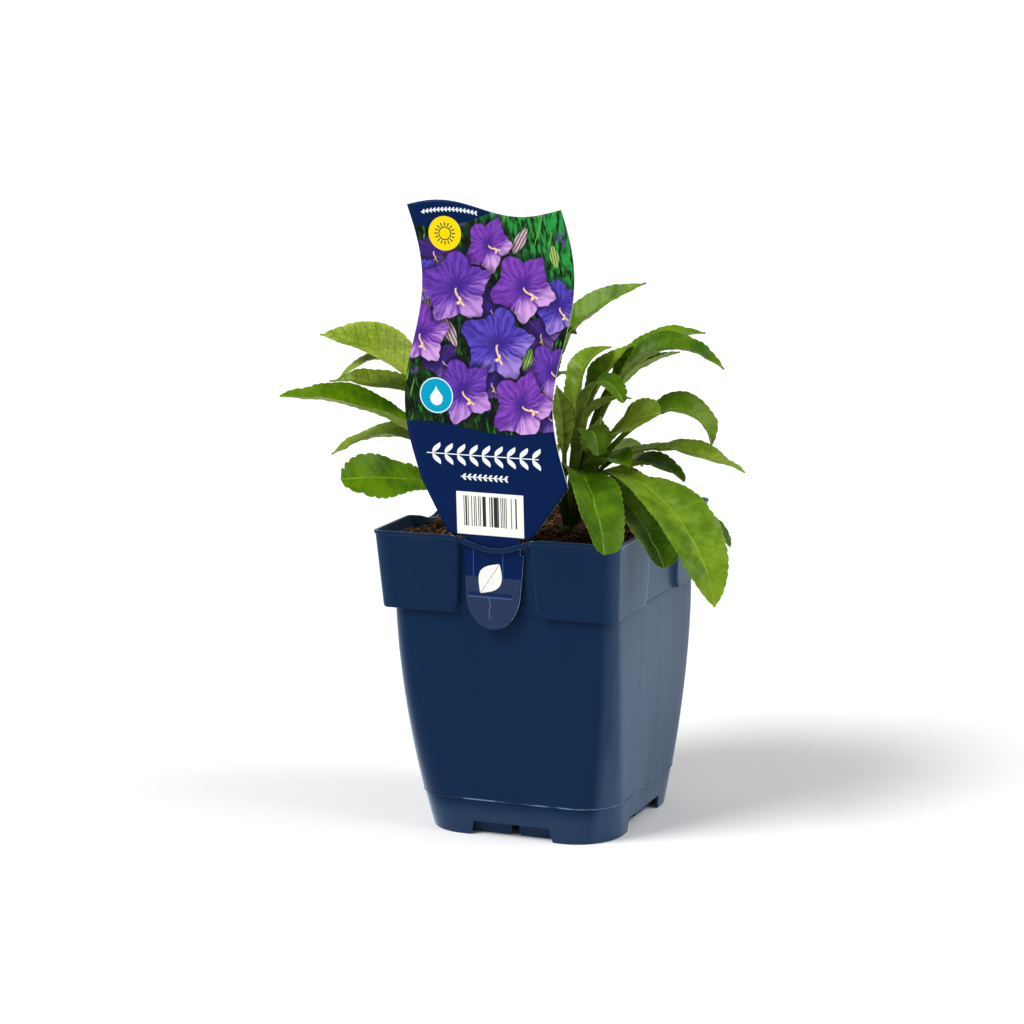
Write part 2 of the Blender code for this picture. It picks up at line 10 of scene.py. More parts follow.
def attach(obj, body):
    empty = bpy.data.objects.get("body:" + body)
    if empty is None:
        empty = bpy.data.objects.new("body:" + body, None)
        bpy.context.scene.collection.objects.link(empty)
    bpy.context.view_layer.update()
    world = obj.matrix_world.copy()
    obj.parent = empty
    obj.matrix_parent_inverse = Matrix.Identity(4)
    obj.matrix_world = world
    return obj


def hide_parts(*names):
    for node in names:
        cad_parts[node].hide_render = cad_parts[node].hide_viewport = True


# The looks of a potted bellflower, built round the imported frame. Metres, +Z up, and the
# label's side faces -Y. The pot, soil, label and leaves are finer forms of the CAD nodes,
# from the same dimensions.
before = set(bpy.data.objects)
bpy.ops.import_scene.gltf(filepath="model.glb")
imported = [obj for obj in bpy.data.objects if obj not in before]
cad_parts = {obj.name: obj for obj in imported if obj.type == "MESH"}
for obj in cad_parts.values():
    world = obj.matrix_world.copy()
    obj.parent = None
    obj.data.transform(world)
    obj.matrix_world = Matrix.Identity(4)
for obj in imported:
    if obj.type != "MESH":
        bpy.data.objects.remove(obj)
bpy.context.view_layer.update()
MM = 0.001


def rgb(red, green, blue):
    """A colour as the photograph shows it, 0 to 255, for a shader."""
    def linear(value):
        value /= 255.0
        return value / 12.92 if value <= 0.04045 else ((value + 0.055) / 1.055) ** 2.4
    return linear(red), linear(green), linear(blue), 1.0


# Camera, as the photograph was taken
CAMERA_AZIMUTH = math.radians(23.4975)
CAMERA_ELEVATION = math.radians(10.9639)
CAMERA_ROLL = math.radians(-1.18)
CAMERA_DISTANCE = 1.22349
CAMERA_TARGET = Vector((-0.01531, 0.0, 0.13128))
CAMERA_LENS = 100.26

# Studio
FLOOR_SIZE = 40.0
FLOOR_DROP = 0.0003
SKY_STRENGTH = 0.40
KEY_LIGHT = ((-0.55, -0.75, 1.0), 2.8, 30.0)
SIDE_LIGHT = ((1.0, 0.1, 0.75), 1.5, 45.0)

# Pot
RIM_HALF = 0.0550
RIM_HEIGHT = 0.1315
COLLAR_HEIGHT = 0.0983
COLLAR_LEAN = 0.0633
COLLAR_CORNER = 0.0030
COLLAR_EDGE = 0.0010
BODY_HALF = 0.0503
BODY_CORNER = 0.0080
BODY_TAPER = 0.0070
CORNER_GROWTH = 0.0120
TAPER_POWER = 1.75
SEAM_HEIGHT = 0.0160
SEAM_STEP = 0.0003
SEAM_FLASH = 0.0002
WALL = 0.0012
LIP_HEIGHT = 0.0012
LIP_PROUD = 0.0005
LIP_PROFILE = ((1.5, 0.0), (1.2, 0.6), (0.9, 1.0), (0.35, 1.0), (0.1, 0.8), (0.0, 0.4))
RECESS_HALF_TOP = 0.0150
RECESS_HALF_FOOT = 0.0170
RECESS_FILLET = 0.0050
RECESS_SIDE = 0.0008
RECESS_PROUD = 0.0003
RECESS_LEAN = 0.0430
DIP_DEPTH = 0.0044
DIP_HALF = 0.0220
STRAP_HEIGHT = 0.0022
STRAP_SINK = 0.0020
STRAP_STEPS = 36
STRAP_ROUND = 0.0005
ARC_STEPS = 14
FACE_STEPS = (0.3, 0.6, 1.0, 2.0)
SKIRT_LEVELS = 6
BODY_LEVELS = 26
INSIDE_LEVELS = 8
RIM_ROUND = 0.0002
FLOOR_HEIGHT = 0.0065
NOTCH_HALF = 0.0190
NOTCH_SLANT = 0.0015
NOTCH_HEIGHT = 0.0060
INNER_SKIRT_INSET = 0.0046
INNER_SKIRT_LIFT = 0.0003
INNER_GAP_HALF = 0.0023
INNER_GAP_HEIGHT = 0.0048
CENTRE_FOOT_RADIUS = 0.0080
DRAIN_RADIUS = 0.0035
DRAIN_SPREAD = 0.0240
ROUND_SIDES = 40
POT_DARK = (0.0010, 0.012, 0.045, 1.0)
POT_LIGHT = (0.0020, 0.018, 0.058, 1.0)
# A paler navy, used for the painted sheen on two sides and for the foot below the seam.
POT_BAND = (0.0280, 0.056, 0.112, 1.0)
EDGE_FACING = 0.97
POT_SHEEN = (0.62, 0.80, 1.0, 1.0)
EDGE_SHEEN = 0.12
POT_SHARP = 32.0
DUST_REACH = 0.0060
SOFT_GLOSS = 0.05

# Soil
CLEARANCE = 0.0003
SOIL_EDGE = 0.1246
SOIL_MOUND = 0.0022
SOIL_CLODS = 0.0048
CLOD_SCALE = 75.0
SOIL_SHOULDER = 0.0120
SOIL_RINGS = 60
SOIL_LEVELS = (0.034, 0.064)
SOIL_REACH = 0.0515
CROWN_CLEARANCE = 0.0020
SOIL_GLOSS = 0.2
FIBRE_GLOSS = 0.3
SOIL_ROUGHNESS = ((0.0016, 160.0), (0.0010, 380.0), (0.0006, 900.0))
SOIL_SEED = 11
CRUMBS = 420
CRUMB_LUMPS = 700.0
CRUMB_SIZE = (0.0006, 0.0026)
STRAP_CRUMBS = (-0.0165, -0.0150, 0.0132, 0.0150)
STRAP_CRUMB_SIZE = 0.0007
FIBRES = 520
FIBRE_LENGTH = (0.004, 0.016)
FIBRE_HALF = (0.00007, 0.00019)
FIBRE_STEPS = 7

# Label: across runs to its right and up from the strap, in the sheet's own plane
LABEL_THICKNESS = 0.0005
LABEL_CENTRE = -0.0023
LABEL_DEPTH = -0.0527
NECK_HEIGHT = 0.1270
LABEL_LEAN = math.radians(2.4)
LABEL_ROLL = math.radians(0.8)
LABEL_CURL = 0.0022
LABEL_HALF = 0.03265
LABEL_TOP = 0.1397
LABEL_KNEE = 0.0270
LABEL_FOOT = 0.0052
LABEL_FOOT_HALF = 0.0190
WAVE_SHIFT = 0.0011
SIDE_WAVE = 0.0050
SIDE_WAVE_MIDDLE = 0.0850
SIDE_WAVE_LENGTH = 0.0535
TOP_WAVE = 0.0031
TOP_WAVE_LENGTH = 0.0340
NECK_HALF = 0.0120
NECK_TOP = 0.0039
TONGUE_SHIFT = 0.0012
TONGUE_HALF = 0.0136
TONGUE_TOP = -0.0026
TONGUE_LENGTH = 0.0341
TONGUE_ROUND = 0.0170
TONGUE_TAPER = 0.09
TONGUE_FULLNESS = 2.2
TONGUE_BEND = -0.0130
TONGUE_KICK = 0.10
TONGUE_ROWS = (-0.0150, TONGUE_BEND, -0.0110, -0.0080, -0.0050, TONGUE_TOP)
TONGUE_TIP_ROWS = 20
FOOT_ROWS = 12
LABEL_COLUMNS = 26
PRINT_EDGES = (92.0, 46.0)
PICTURE_FOOT = 50.0
LABEL_ROWS = 70

# The print: places and sizes are in mm on the flat label
PRINT_BLUR = 0.08
PRINT_WHITE = rgb(236, 236, 226)
SUN_SIDE = Vector((0.50, -0.85, 0.0))
DARK_THROAT = rgb(52, 30, 122)
STYLE_LENGTH = 0.42
STYLE_FORK = 0.14
DUSK = (rgb(40, 26, 84), rgb(66, 42, 118), rgb(120, 88, 160))
VIOLET = (rgb(74, 38, 130), rgb(104, 62, 172), rgb(190, 142, 210))
PLUM = (rgb(88, 40, 138), rgb(122, 66, 176), rgb(206, 160, 216))
BLUE = (rgb(56, 40, 134), rgb(86, 70, 178), rgb(160, 130, 208))
BUD_GREY = (rgb(64, 44, 60), rgb(186, 164, 172))
BUD_GREEN = (rgb(60, 92, 34), rgb(150, 182, 96))
# The picture's flowers and buds, the nearest last: middle, turn in degrees, size and tone
FLOWER_REACH = 18.0
FAR_FLOWERS = (
    ((-21.0, 122.0), 15, (9.0, 8.0), DUSK), ((24.5, 90.0), 5, (8.5, 8.0), DUSK),
    ((3.0, 99.0), 33, (9.0, 8.5), DUSK), ((-19.0, 77.0), 50, (8.5, 9.0), DUSK),
    ((2.5, 69.0), 20, (8.0, 8.0), DUSK), ((27.0, 56.0), 62, (9.0, 8.0), DUSK),
)
BUDS = (
    ((-15.5, 89.5), 25, (2.6, 7.5), BUD_GREY), ((30.5, 121.0), 12, (1.9, 5.0), BUD_GREEN),
    ((16.0, 127.0), -30, (2.2, 6.4), BUD_GREY), ((-25.0, 101.0), -8, (2.2, 6.0), BUD_GREY),
    ((18.5, 79.0), -20, (2.2, 5.4), BUD_GREEN),
)
NEAR_FLOWERS = (
    ((-29.5, 110.0), 40, (11.5, 11.5), BLUE), ((2.5, 125.0), 65, (12.0, 9.5), PLUM),
    ((32.5, 101.0), 30, (12.0, 11.0), BLUE), ((-28.5, 88.0), 12, (13.5, 12.5), PLUM),
    ((28.5, 75.0), 50, (12.0, 11.0), VIOLET), ((-12.0, 107.5), 20, (16.5, 14.5), VIOLET),
    ((17.0, 108.5), 52, (14.5, 13.5), PLUM), ((5.5, 85.0), 8, (16.5, 15.0), BLUE),
    ((-10.5, 65.0), 38, (14.5, 13.0), VIOLET), ((15.5, 60.0), 70, (15.0, 13.0), PLUM),
)
SUN_MIDDLE = (-16.0, 129.2)
SUN_RADIUS = 7.0
SUN_RING = 2.55
SUN_RAYS = 16.0
DROP_MIDDLE = (-22.2, 62.5)
DROP_BOTTOM = (-22.2, 61.1)
DROP_RADIUS = 7.4
# The picture's lower edge is a wave; its upper edge rises to both sides of a low point
PICTURE_BOTTOM = 49.7
PICTURE_CREST = -27.0
PICTURE_HALF_WAVE = 35.0
PICTURE_WAVE_HEIGHT = 1.9
PICTURE_TOP = 131.8
PICTURE_LOW_POINT = -22.0
PICTURE_RISE = 0.0095
# Sprigs: middle, half the length, how long the leaves are and how many along each side
TOP_SPRIG = ((-14.0, 139.0), 12.0, 1.0, 15)
TOP_SPRIG_ARCH = 0.010
WIDE_SPRIG = ((-2.5, 38.3), 25.0, 4.6, 9)
SHORT_SPRIG = ((-2.0, 29.2), 10.5, 1.5, 9)
PANEL = (-14.7, 15.2, 5.0, 22.9)
STRIPES_PER_MM = 2.6
TONGUE_FOLDS = (-7.7, 5.5)
SLIT_SIDES = (-10.0, 9.9)
LEAF_MARK = (-0.2, -13.0)
LEAF_MARK_TURN = -34.0
LEAF_MARK_HALF = 7.6
LEAF_MARK_WIDTH = 5.2

# Leaves
LEAF_ROOT_HEIGHT = 0.1290
CROWN_RADIUS = 0.0052
CROWN_FOOT = 0.1180
CROWN_SHOULDER = 0.1262
CROWN_TOP = 0.1290
CROWN_FILL = 0.8
CROWN_SIDES = 24
CROWN_RINGS = 7
CROWN_ROUND = math.radians(86.0)
CROWN_REACH = -40.0
ROOT_SPREAD = 0.0026
RISE_REACH = 0.48
DROOP_REACH = 0.40
HANG_REACH = 0.18
STALK_HALF = 0.0012
TIP_HALF = 0.0004
BLUNT_WIDEST = 2.0
POINTED_WIDEST = 1.15
PINCH_PLACE = 0.30
PINCH_LENGTH = 0.13
BEAK = 0.05
BEAK_FROM = 0.6
LEAF_COLUMNS = 14
STALK_ROWS = 10
BLADE_ROWS = 116
EDGE_STEPS = 160
EDGE_SLOPE = 0.004
TOOTH_PITCH = 0.0030
TOOTH_DEPTH = 0.00045
TOOTH_LEAN = 1.6
FULL_TOOTH_HALF = 0.0030
EDGE_THICKNESS = 0.00022
MIDRIB_THICKNESS = 0.0014
MIDRIB_HALF = 0.0007
MIDRIB_GROOVE = 0.00030
FOLD_SOFTNESS = 0.12
VEIN_PITCH = 0.0048
VEIN_LEAN = 0.60
QUILT_DEPTH = 0.00032
PUCKER_DEPTH = 0.00080
PUCKER_SCALE = 150.0
EDGE_RIPPLE = 0.0007
BLADE_WAVE = 0.0011
BLADE_WAVE_SCALE = 55.0
LENGTH_STEPS = 20
LEAF_GLOSS = (1.0, 0.95, 0.45, 1.0)

# One leaf: where its tip is, the climb of its stalk and of its tip in degrees, its width,
# how far its right side (looking from root to tip) rolls up and its halves fold up in
# degrees, where the blade starts, how pointed it is, its tone (-1 deep, 0 fresh, 1 pale
# olive), how deep its left side is pinched in, and how big its teeth are.
Leaf = namedtuple("Leaf", "tip rise droop width roll fold stalk point tone pinch lobes",
                  defaults=(0.0, 1.0))

ROSETTES = {
    "rosette_left": ((-0.016, 0.000), [
        Leaf((-0.091, -0.027, 0.209), 58, 6, 0.026, 32, 24, 0.36, 0.75, 1.0),
        Leaf((-0.0845, -0.024, 0.1895), 40, -43, 0.011, 16, 20, 0.40, 0.75, 0.7),
        Leaf((-0.094, -0.014, 0.187), 76, -4, 0.016, 25, 26, 0.36, 0.90, 1.0),
        Leaf((-0.104, -0.041, 0.184), 53, 4, 0.020, 18, 32, 0.33, 0.65, 0.0),
        Leaf((-0.094, -0.014, 0.155), 50, -31, 0.017, 16, 22, 0.33, 0.75, 0.5),
        Leaf((-0.070, -0.053, 0.152), 34, 2, 0.023, 48, 10, 0.38, 0.40, 0.0, 0.0, 2.0),
        Leaf((-0.046, 0.034, 0.200), 84, 10, 0.018, 0, 28, 0.36, 0.80, 0.1),
        Leaf((-0.036, -0.040, 0.168), 78, -10, 0.018, 0, 26, 0.33, 0.75, 0.1),
        Leaf((-0.066, 0.030, 0.147), 60, -25, 0.020, -6, 22, 0.30, 0.65, 0.2),
    ]),
    "rosette_back": ((-0.012, 0.020), [
        Leaf((0.033, 0.038, 0.227), 112, 22, 0.020, -26, 30, 0.36, 0.85, 0.0),
        Leaf((0.006, 0.025, 0.206), 89, -10, 0.020, 20, 20, 0.45, 0.50, 0.8),
        Leaf((-0.030, 0.075, 0.188), 74, -20, 0.020, 0, 26, 0.33, 0.85, 0.2),
        Leaf((0.012, 0.086, 0.138), 42, -38, 0.020, 8, 22, 0.36, 0.65, 0.3),
        Leaf((-0.066, 0.066, 0.158), 64, -35, 0.021, -8, 22, 0.33, 0.80, 0.1),
        Leaf((-0.012, 0.064, 0.207), 82, 4, 0.018, 0, 28, 0.42, 0.85, 0.2),
        Leaf((-0.026, 0.058, 0.146), 54, -30, 0.021, 0, 20, 0.30, 0.55, 0.0),
        Leaf((-0.007, 0.045, 0.185), 92, -20, 0.011, 0, 26, 0.48, 0.70, 0.2),
        Leaf((-0.034, 0.020, 0.214), 86, 24, 0.017, 0, 30, 0.40, 0.90, 0.1),
    ]),
    "rosette_right": ((0.011, -0.001), [
        Leaf((0.0235, 0.020, 0.2015), 82, 8, 0.014, 0, 22, 0.27, 0.65, 0.4),
        Leaf((0.033, 0.021, 0.202), 84, 34, 0.017, 0, 26, 0.48, 0.60, 0.3),
        Leaf((0.075, 0.018, 0.194), 86, -40, 0.018, -20, 28, 0.46, 0.80, -0.45),
        Leaf((0.059, 0.040, 0.206), 84, -5, 0.015, -10, 30, 0.50, 0.85, 0.1),
        Leaf((0.051, 0.030, 0.199), 80, 10, 0.017, 0, 26, 0.48, 0.75, -0.1),
        Leaf((0.0415, -0.0125, 0.183), 100, -56, 0.012, -20, 20, 0.45, 0.55, 0.0),
        Leaf((0.039, 0.003, 0.1825), 97, -5, 0.011, 0, 28, 0.42, 0.80, 0.2),
        Leaf((0.061, -0.022, 0.181), 69, 15, 0.020, -48, 20, 0.46, 0.48, 0.5),
        Leaf((0.070, 0.016, 0.1615), 84, -78, 0.020, -22, 26, 0.46, 0.70, 0.4),
        Leaf((0.033, -0.017, 0.1775), 70, 78, 0.013, 0, 22, 0.60, 0.90, 0.0),
        Leaf((0.088, 0.006, 0.153), 79, -25, 0.014, -14, 16, 0.42, 0.70, 0.6),
        Leaf((0.036, -0.028, 0.163), 84, -75, 0.014, 0, 16, 0.45, 0.50, -0.6),
        Leaf((0.047, -0.021, 0.158), 72, -16, 0.017, -10, 26, 0.42, 0.65, -0.1),
        Leaf((0.052, -0.063, 0.1295), 104, -60, 0.023, 26, 22, 0.30, 0.30, -0.3),
        Leaf((0.068, -0.038, 0.120), 92, -58, 0.027, 10, 18, 0.34, 0.36, -0.6),
        Leaf((0.090, -0.039, 0.1055), 90, -80, 0.026, -24, 24, 0.30, 0.66, 0.36, 0.60),
        Leaf((0.062, 0.004, 0.148), 55, -40, 0.015, -10, 22, 0.38, 0.55, -0.5),
        Leaf((0.079, 0.013, 0.1195), 50, -48, 0.015, -12, 20, 0.30, 0.50, -0.6),
        Leaf((0.050, -0.005, 0.140), 56, -45, 0.015, -10, 22, 0.40, 0.60, -0.6),
        Leaf((0.010, -0.0085, 0.1885), 88, 70, 0.010, 0, 22, 0.45, 0.80, -0.2),
        Leaf((0.004, -0.044, 0.150), 76, -30, 0.018, 0, 22, 0.30, 0.65, -0.4),
    ]),
}


# Mesh helpers
def new_object(name, data):
    thing = bpy.data.objects.new(name, data)
    bpy.context.scene.collection.objects.link(thing)
    return thing


def shade(mesh, degrees):
    """Shades a mesh smooth where its faces meet at less than an angle."""
    mesh.shade_smooth()
    mesh.set_sharp_from_angle(angle=math.radians(degrees))


def mesh_object(name, bm, *materials, smooth=0.0):
    """Makes an object of a bmesh, shaded smooth below an angle in degrees, if one is given."""
    bmesh.ops.recalc_face_normals(bm, faces=bm.faces)
    mesh = bpy.data.meshes.new(name)
    bm.to_mesh(mesh)
    bm.free()
    for material in materials:
        mesh.materials.append(material)
    if smooth:
        shade(mesh, smooth)
    return new_object(name, mesh)


def stands_for(piece, slot, *nodes):
    """The piece rides on the pot and stands for CAD nodes, which it hides; the slot is not used."""
    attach(piece, "root")
    if nodes:
        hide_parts(*nodes)


def combine(thing, operation, others):
    """Boolean of an object and a list of others, which are then removed."""
    group = bpy.data.collections.new("operand")
    for other in others:
        group.objects.link(other)
    modifier = thing.modifiers.new("combine", "BOOLEAN")
    modifier.operation = operation
    modifier.solver = "EXACT"
    modifier.operand_type = "COLLECTION"
    modifier.collection = group
    bpy.context.view_layer.update()
    result = thing.evaluated_get(bpy.context.evaluated_depsgraph_get())
    mesh = bpy.data.meshes.new_from_object(result)
    thing.modifiers.clear()
    thing.data = mesh
    for other in others:
        bpy.data.objects.remove(other)
    bpy.data.collections.remove(group)


def loft(bm, rings, round_again=False):
    """Skins a run of closed rings of equally many points, capped or led back to the first."""
    loops = [[bm.verts.new(point) for point in ring] for ring in rings]
    for lower, upper in zip(loops, loops[1:] + loops[:1] * round_again):
        for k in range(len(lower)):
            n = (k + 1) % len(lower)
            bm.faces.new((lower[k], lower[n], upper[n], upper[k]))
    if not round_again:
        bm.faces.new(list(reversed(loops[0])))
        bm.faces.new(loops[-1])
    return loops


def cylinder(name, radius, depth, middle):
    bm = bmesh.new()
    bmesh.ops.create_cone(bm, cap_ends=True, segments=ROUND_SIDES, radius1=radius, radius2=radius,
                          depth=depth, matrix=Matrix.Translation(middle))
    return mesh_object(name, bm)


# Material helpers
class Value:
    """A number or vector that varies over a surface. Arithmetic on it adds the nodes for it."""

    def __init__(self, paint, socket):
        self.paint = paint
        self.socket = socket

    def __add__(self, other):
        return self.paint.math("ADD", self, other)

    def __radd__(self, other):
        return self.paint.math("ADD", other, self)

    def __sub__(self, other):
        return self.paint.math("SUBTRACT", self, other)

    def __rsub__(self, other):
        return self.paint.math("SUBTRACT", other, self)

    def __mul__(self, other):
        return self.paint.math("MULTIPLY", self, other)

    def __pow__(self, power):
        return self.paint.math("POWER", self, power)

    def __abs__(self):
        return self.paint.math("ABSOLUTE", self)

    def sine(self):
        return self.paint.math("SINE", self)

    def cosine(self):
        return self.paint.math("COSINE", self)

    def ramp(self, low, high, start=0.0, end=1.0):
        """Rises smoothly from start to end as the value goes from low to high."""
        inputs = {"Value": self, "From Min": low, "From Max": high, "To Min": start, "To Max": end}
        return self.paint.take("MapRange", inputs, interpolation_type="SMOOTHSTEP")

    def within(self, edge, blur):
        """1 where the value is under an edge and 0 over it, blurred a little."""
        return (self - edge).ramp(blur, -blur)

    def parts(self):
        return [Value(self.paint, socket) for socket in self.paint.add("SeparateXYZ", {0: self}).outputs]

    def length(self):
        return self.paint.vector("LENGTH", self, output="Value")

    def angle(self):
        """The direction of a vector in its plane, in radians."""
        x, y, _ = self.parts()
        return self.paint.math("ARCTAN2", y, x)


class Paint:
    """A material, its colour so far and short ways to add nodes to it."""

    def __init__(self, name):
        self.material = bpy.data.materials.new(name)
        self.material.use_nodes = True
        self.tree = self.material.node_tree
        self.shader = self.tree.nodes["Principled BSDF"]
        self.colour = None

    def feed(self, socket, value):
        if isinstance(value, Value):
            self.tree.links.new(value.socket, socket)
        else:
            socket.default_value = value

    def add(self, kind, inputs, **settings):
        node = self.tree.nodes.new("ShaderNode" + kind)
        for key, value in settings.items():
            setattr(node, key, value)
        for key, value in inputs.items():
            self.feed(node.inputs[key], value)
        return node

    def take(self, kind, inputs, output=0, **settings):
        """One output of a new node."""
        return Value(self, self.add(kind, inputs, **settings).outputs[output])

    def math(self, operation, *values):
        return self.take("Math", dict(enumerate(values)), operation=operation)

    def vector(self, operation, *values, output=0):
        return self.take("VectorMath", dict(enumerate(values)), output, operation=operation)

    def place(self, scale=(1.0, 1.0, 1.0)):
        """Where a point is in the object, in metres, stretched by a scale."""
        return self.take("Mapping", {"Vector": self.take("TexCoord", {}, "Object"), "Scale": scale})

    def noise(self, scale, detail=4.0, roughness=0.55, vector=None, output="Fac"):
        vector = vector or self.place()
        inputs = {"Vector": vector, "Scale": scale, "Detail": detail, "Roughness": roughness}
        return self.take("TexNoise", inputs, output)

    def attribute(self, name):
        return self.take("Attribute", {}, "Fac", attribute_name=name)

    def mix(self, share, first, second):
        return self.take("Mix", {0: share, 6: first, 7: second}, 2, data_type="RGBA")

    def start(self, share, first, second):
        """Makes the colour so far a mix of two."""
        self.colour = self.mix(share, first, second)

    def lay(self, share, colour):
        """Lays another colour over the colour so far."""
        self.colour = self.mix(share, self.colour, colour)

    def lay_drawn(self, share, draw, *details):
        """Lays what a function paints over the colour so far."""
        before = self.colour
        draw(self, *details)
        drawn = self.colour
        self.colour = before
        self.lay(share, drawn)

    def bump(self, height, strength, distance):
        inputs = {"Height": height, "Strength": strength, "Distance": distance}
        self.feed(self.shader.inputs["Normal"], self.take("Bump", inputs))

    def finish(self, roughness, specular=0.5, more=None):
        """Feeds the shader its colour, roughness and gloss, and any other sockets by name."""
        inputs = {"Base Color": self.colour, "Roughness": roughness, "Specular IOR Level": specular}
        for key, value in {**inputs, **(more or {})}.items():
            self.feed(self.shader.inputs[key], value)
        return self.material


# The pot's section
def taper(z):
    """How far the body has narrowed at a height: 0 at the collar, 1 at the base."""
    return max(0.0, 1.0 - z / COLLAR_HEIGHT) ** TAPER_POWER


def body_half(z):
    step = SEAM_STEP if z < SEAM_HEIGHT else 0.0
    return BODY_HALF - BODY_TAPER * taper(z) - step


def body_corner(z):
    return BODY_CORNER + CORNER_GROWTH * taper(z)


def face_half(z):
    return RIM_HALF - COLLAR_LEAN * (RIM_HEIGHT - z)


def recess_half_width(z):
    """Half the recess's width, which spreads in a fillet at its lower corners."""
    share = (RIM_HEIGHT - z) / (RIM_HEIGHT - COLLAR_HEIGHT)
    straight = RECESS_HALF_TOP + (RECESS_HALF_FOOT - RECESS_HALF_TOP) * share
    down = min(1.0, max(0.0, (COLLAR_HEIGHT + RECESS_FILLET - z) / RECESS_FILLET))
    return straight + RECESS_FILLET * (1.0 - math.sqrt(1.0 - down * down))


def recess_depth_half(z):
    return BODY_HALF + RECESS_PROUD + RECESS_LEAN * (z - COLLAR_HEIGHT)


def rim_height(x):
    """The rim dips in the middle of each side, over the recess."""
    if abs(x) >= DIP_HALF:
        return RIM_HEIGHT
    return RIM_HEIGHT - DIP_DEPTH * 0.5 * (1.0 + math.cos(math.pi * x / DIP_HALF))


def side_profile(recess, deep, half):
    """One side's points (along, out): the recess, its rounded side walls and the face."""
    edge = min(COLLAR_EDGE, 0.45 * abs(half - deep))
    right = [(recess - edge, deep), (recess, deep + edge * 0.4)]
    for k in range(5):
        angle = math.radians(90.0 * k / 4)
        right.append((recess + RECESS_SIDE + edge * (1.0 - math.cos(angle)),
                      half - edge * (1.0 - math.sin(angle))))
    start = right[-1][0]
    right += [(start + (DIP_HALF - RECESS_HALF_TOP) * share, half) for share in FACE_STEPS]
    middle = [((recess - edge) * k / 5, deep) for k in range(-4, 5)]
    return [(-x, out) for x, out in reversed(right)] + middle + right


def four_sides(side_points, half, corner, height_at):
    """Repeats one side's points and corner arc round the pot. A point is (along, out)."""
    centre = half - corner
    points = [(-centre, half)] + side_points
    for k in range(ARC_STEPS):
        angle = math.radians(90.0 * k / ARC_STEPS)
        points.append((centre + corner * math.sin(angle), centre + corner * math.cos(angle)))
    ring = []
    for turn in range(4):
        rotation = Matrix.Rotation(math.radians(90.0 * turn), 3, "Z")
        for x, out in points:
            ring.append(rotation @ Vector((x, -out, height_at(x))))
    return ring


def body_ring(z, inset=0.0):
    half = body_half(z) - inset
    corner = body_corner(z) - inset
    spread = (half - corner) / (BODY_HALF - BODY_CORNER)
    columns = side_profile(recess_half_width(COLLAR_HEIGHT) + inset, BODY_HALF - COLLAR_EDGE, BODY_HALF)
    side = [(x * spread, half) for x, _ in columns]
    return four_sides(side, half, corner, lambda x: z)


def collar_ring(below_rim, z=None, inset=0.0, proud=0.0):
    """A ring of the collar: at height z, or measured down from the dipping rim."""
    level = RIM_HEIGHT - below_rim if z is None else z
    half = face_half(level) - inset + proud
    recess = recess_half_width(level - inset) + inset
    side = side_profile(recess, recess_depth_half(level) - inset, half)
    corner = max(COLLAR_CORNER - inset, WALL) + proud
    return four_sides(side, half, corner, lambda x: rim_height(x) - below_rim if z is None else z)


def collar_levels():
    """Heights up the collar, close together where its lower edge and fillets turn."""
    levels = []
    for radius, turn, steps in (COLLAR_EDGE, 22.5, range(5)), (RECESS_FILLET, 9.0, range(4, 11)):
        levels += [COLLAR_HEIGHT + radius * (1.0 - math.cos(math.radians(turn * k))) for k in steps]
    return sorted(set(round(z, 6) for z in levels))


def edge_proud(z):
    """How far the collar's rounded lower edge stands back from its face, as a negative."""
    up = min(1.0, (z - COLLAR_HEIGHT) / COLLAR_EDGE)
    return -COLLAR_EDGE * (1.0 - math.sqrt(max(0.0, 1.0 - (1.0 - up) ** 2)))


def pot_shell():
    """The skirt, body, collar, rim, inside and floor, as one closed skin."""
    rise = COLLAR_HEIGHT - SEAM_HEIGHT
    seam = SEAM_HEIGHT - SEAM_FLASH
    outside = [body_ring(SEAM_HEIGHT * k / SKIRT_LEVELS) for k in range(SKIRT_LEVELS)]
    outside += [body_ring(seam), body_ring(seam, -SEAM_STEP - SEAM_FLASH)]
    outside += [body_ring(SEAM_HEIGHT, -SEAM_FLASH), body_ring(SEAM_HEIGHT + SEAM_FLASH)]
    outside += [body_ring(SEAM_HEIGHT + rise * k / BODY_LEVELS) for k in range(1, BODY_LEVELS + 1)]
    outside += [collar_ring(0.0, z, proud=edge_proud(z)) for z in collar_levels()]
    outside += [collar_ring(below * LIP_HEIGHT, proud=out * LIP_PROUD) for below, out in LIP_PROFILE]
    inside = [collar_ring(0.0, inset=WALL * 0.7), collar_ring(RIM_ROUND, inset=WALL * 0.9)]
    inside += [collar_ring(0.0, z + WALL, WALL) for z in reversed(collar_levels()[4:])]
    inside += [body_ring(COLLAR_HEIGHT + WALL * 0.9, WALL)]
    inside += [body_ring(COLLAR_HEIGHT * k / INSIDE_LEVELS, WALL) for k in range(INSIDE_LEVELS - 1, 0, -1)]
    inside += [body_ring(FLOOR_HEIGHT + WALL, WALL)]
    underside = [body_ring(FLOOR_HEIGHT, WALL), body_ring(0.0, WALL)]
    bm = bmesh.new()
    loft(bm, underside + outside + inside)
    return bm


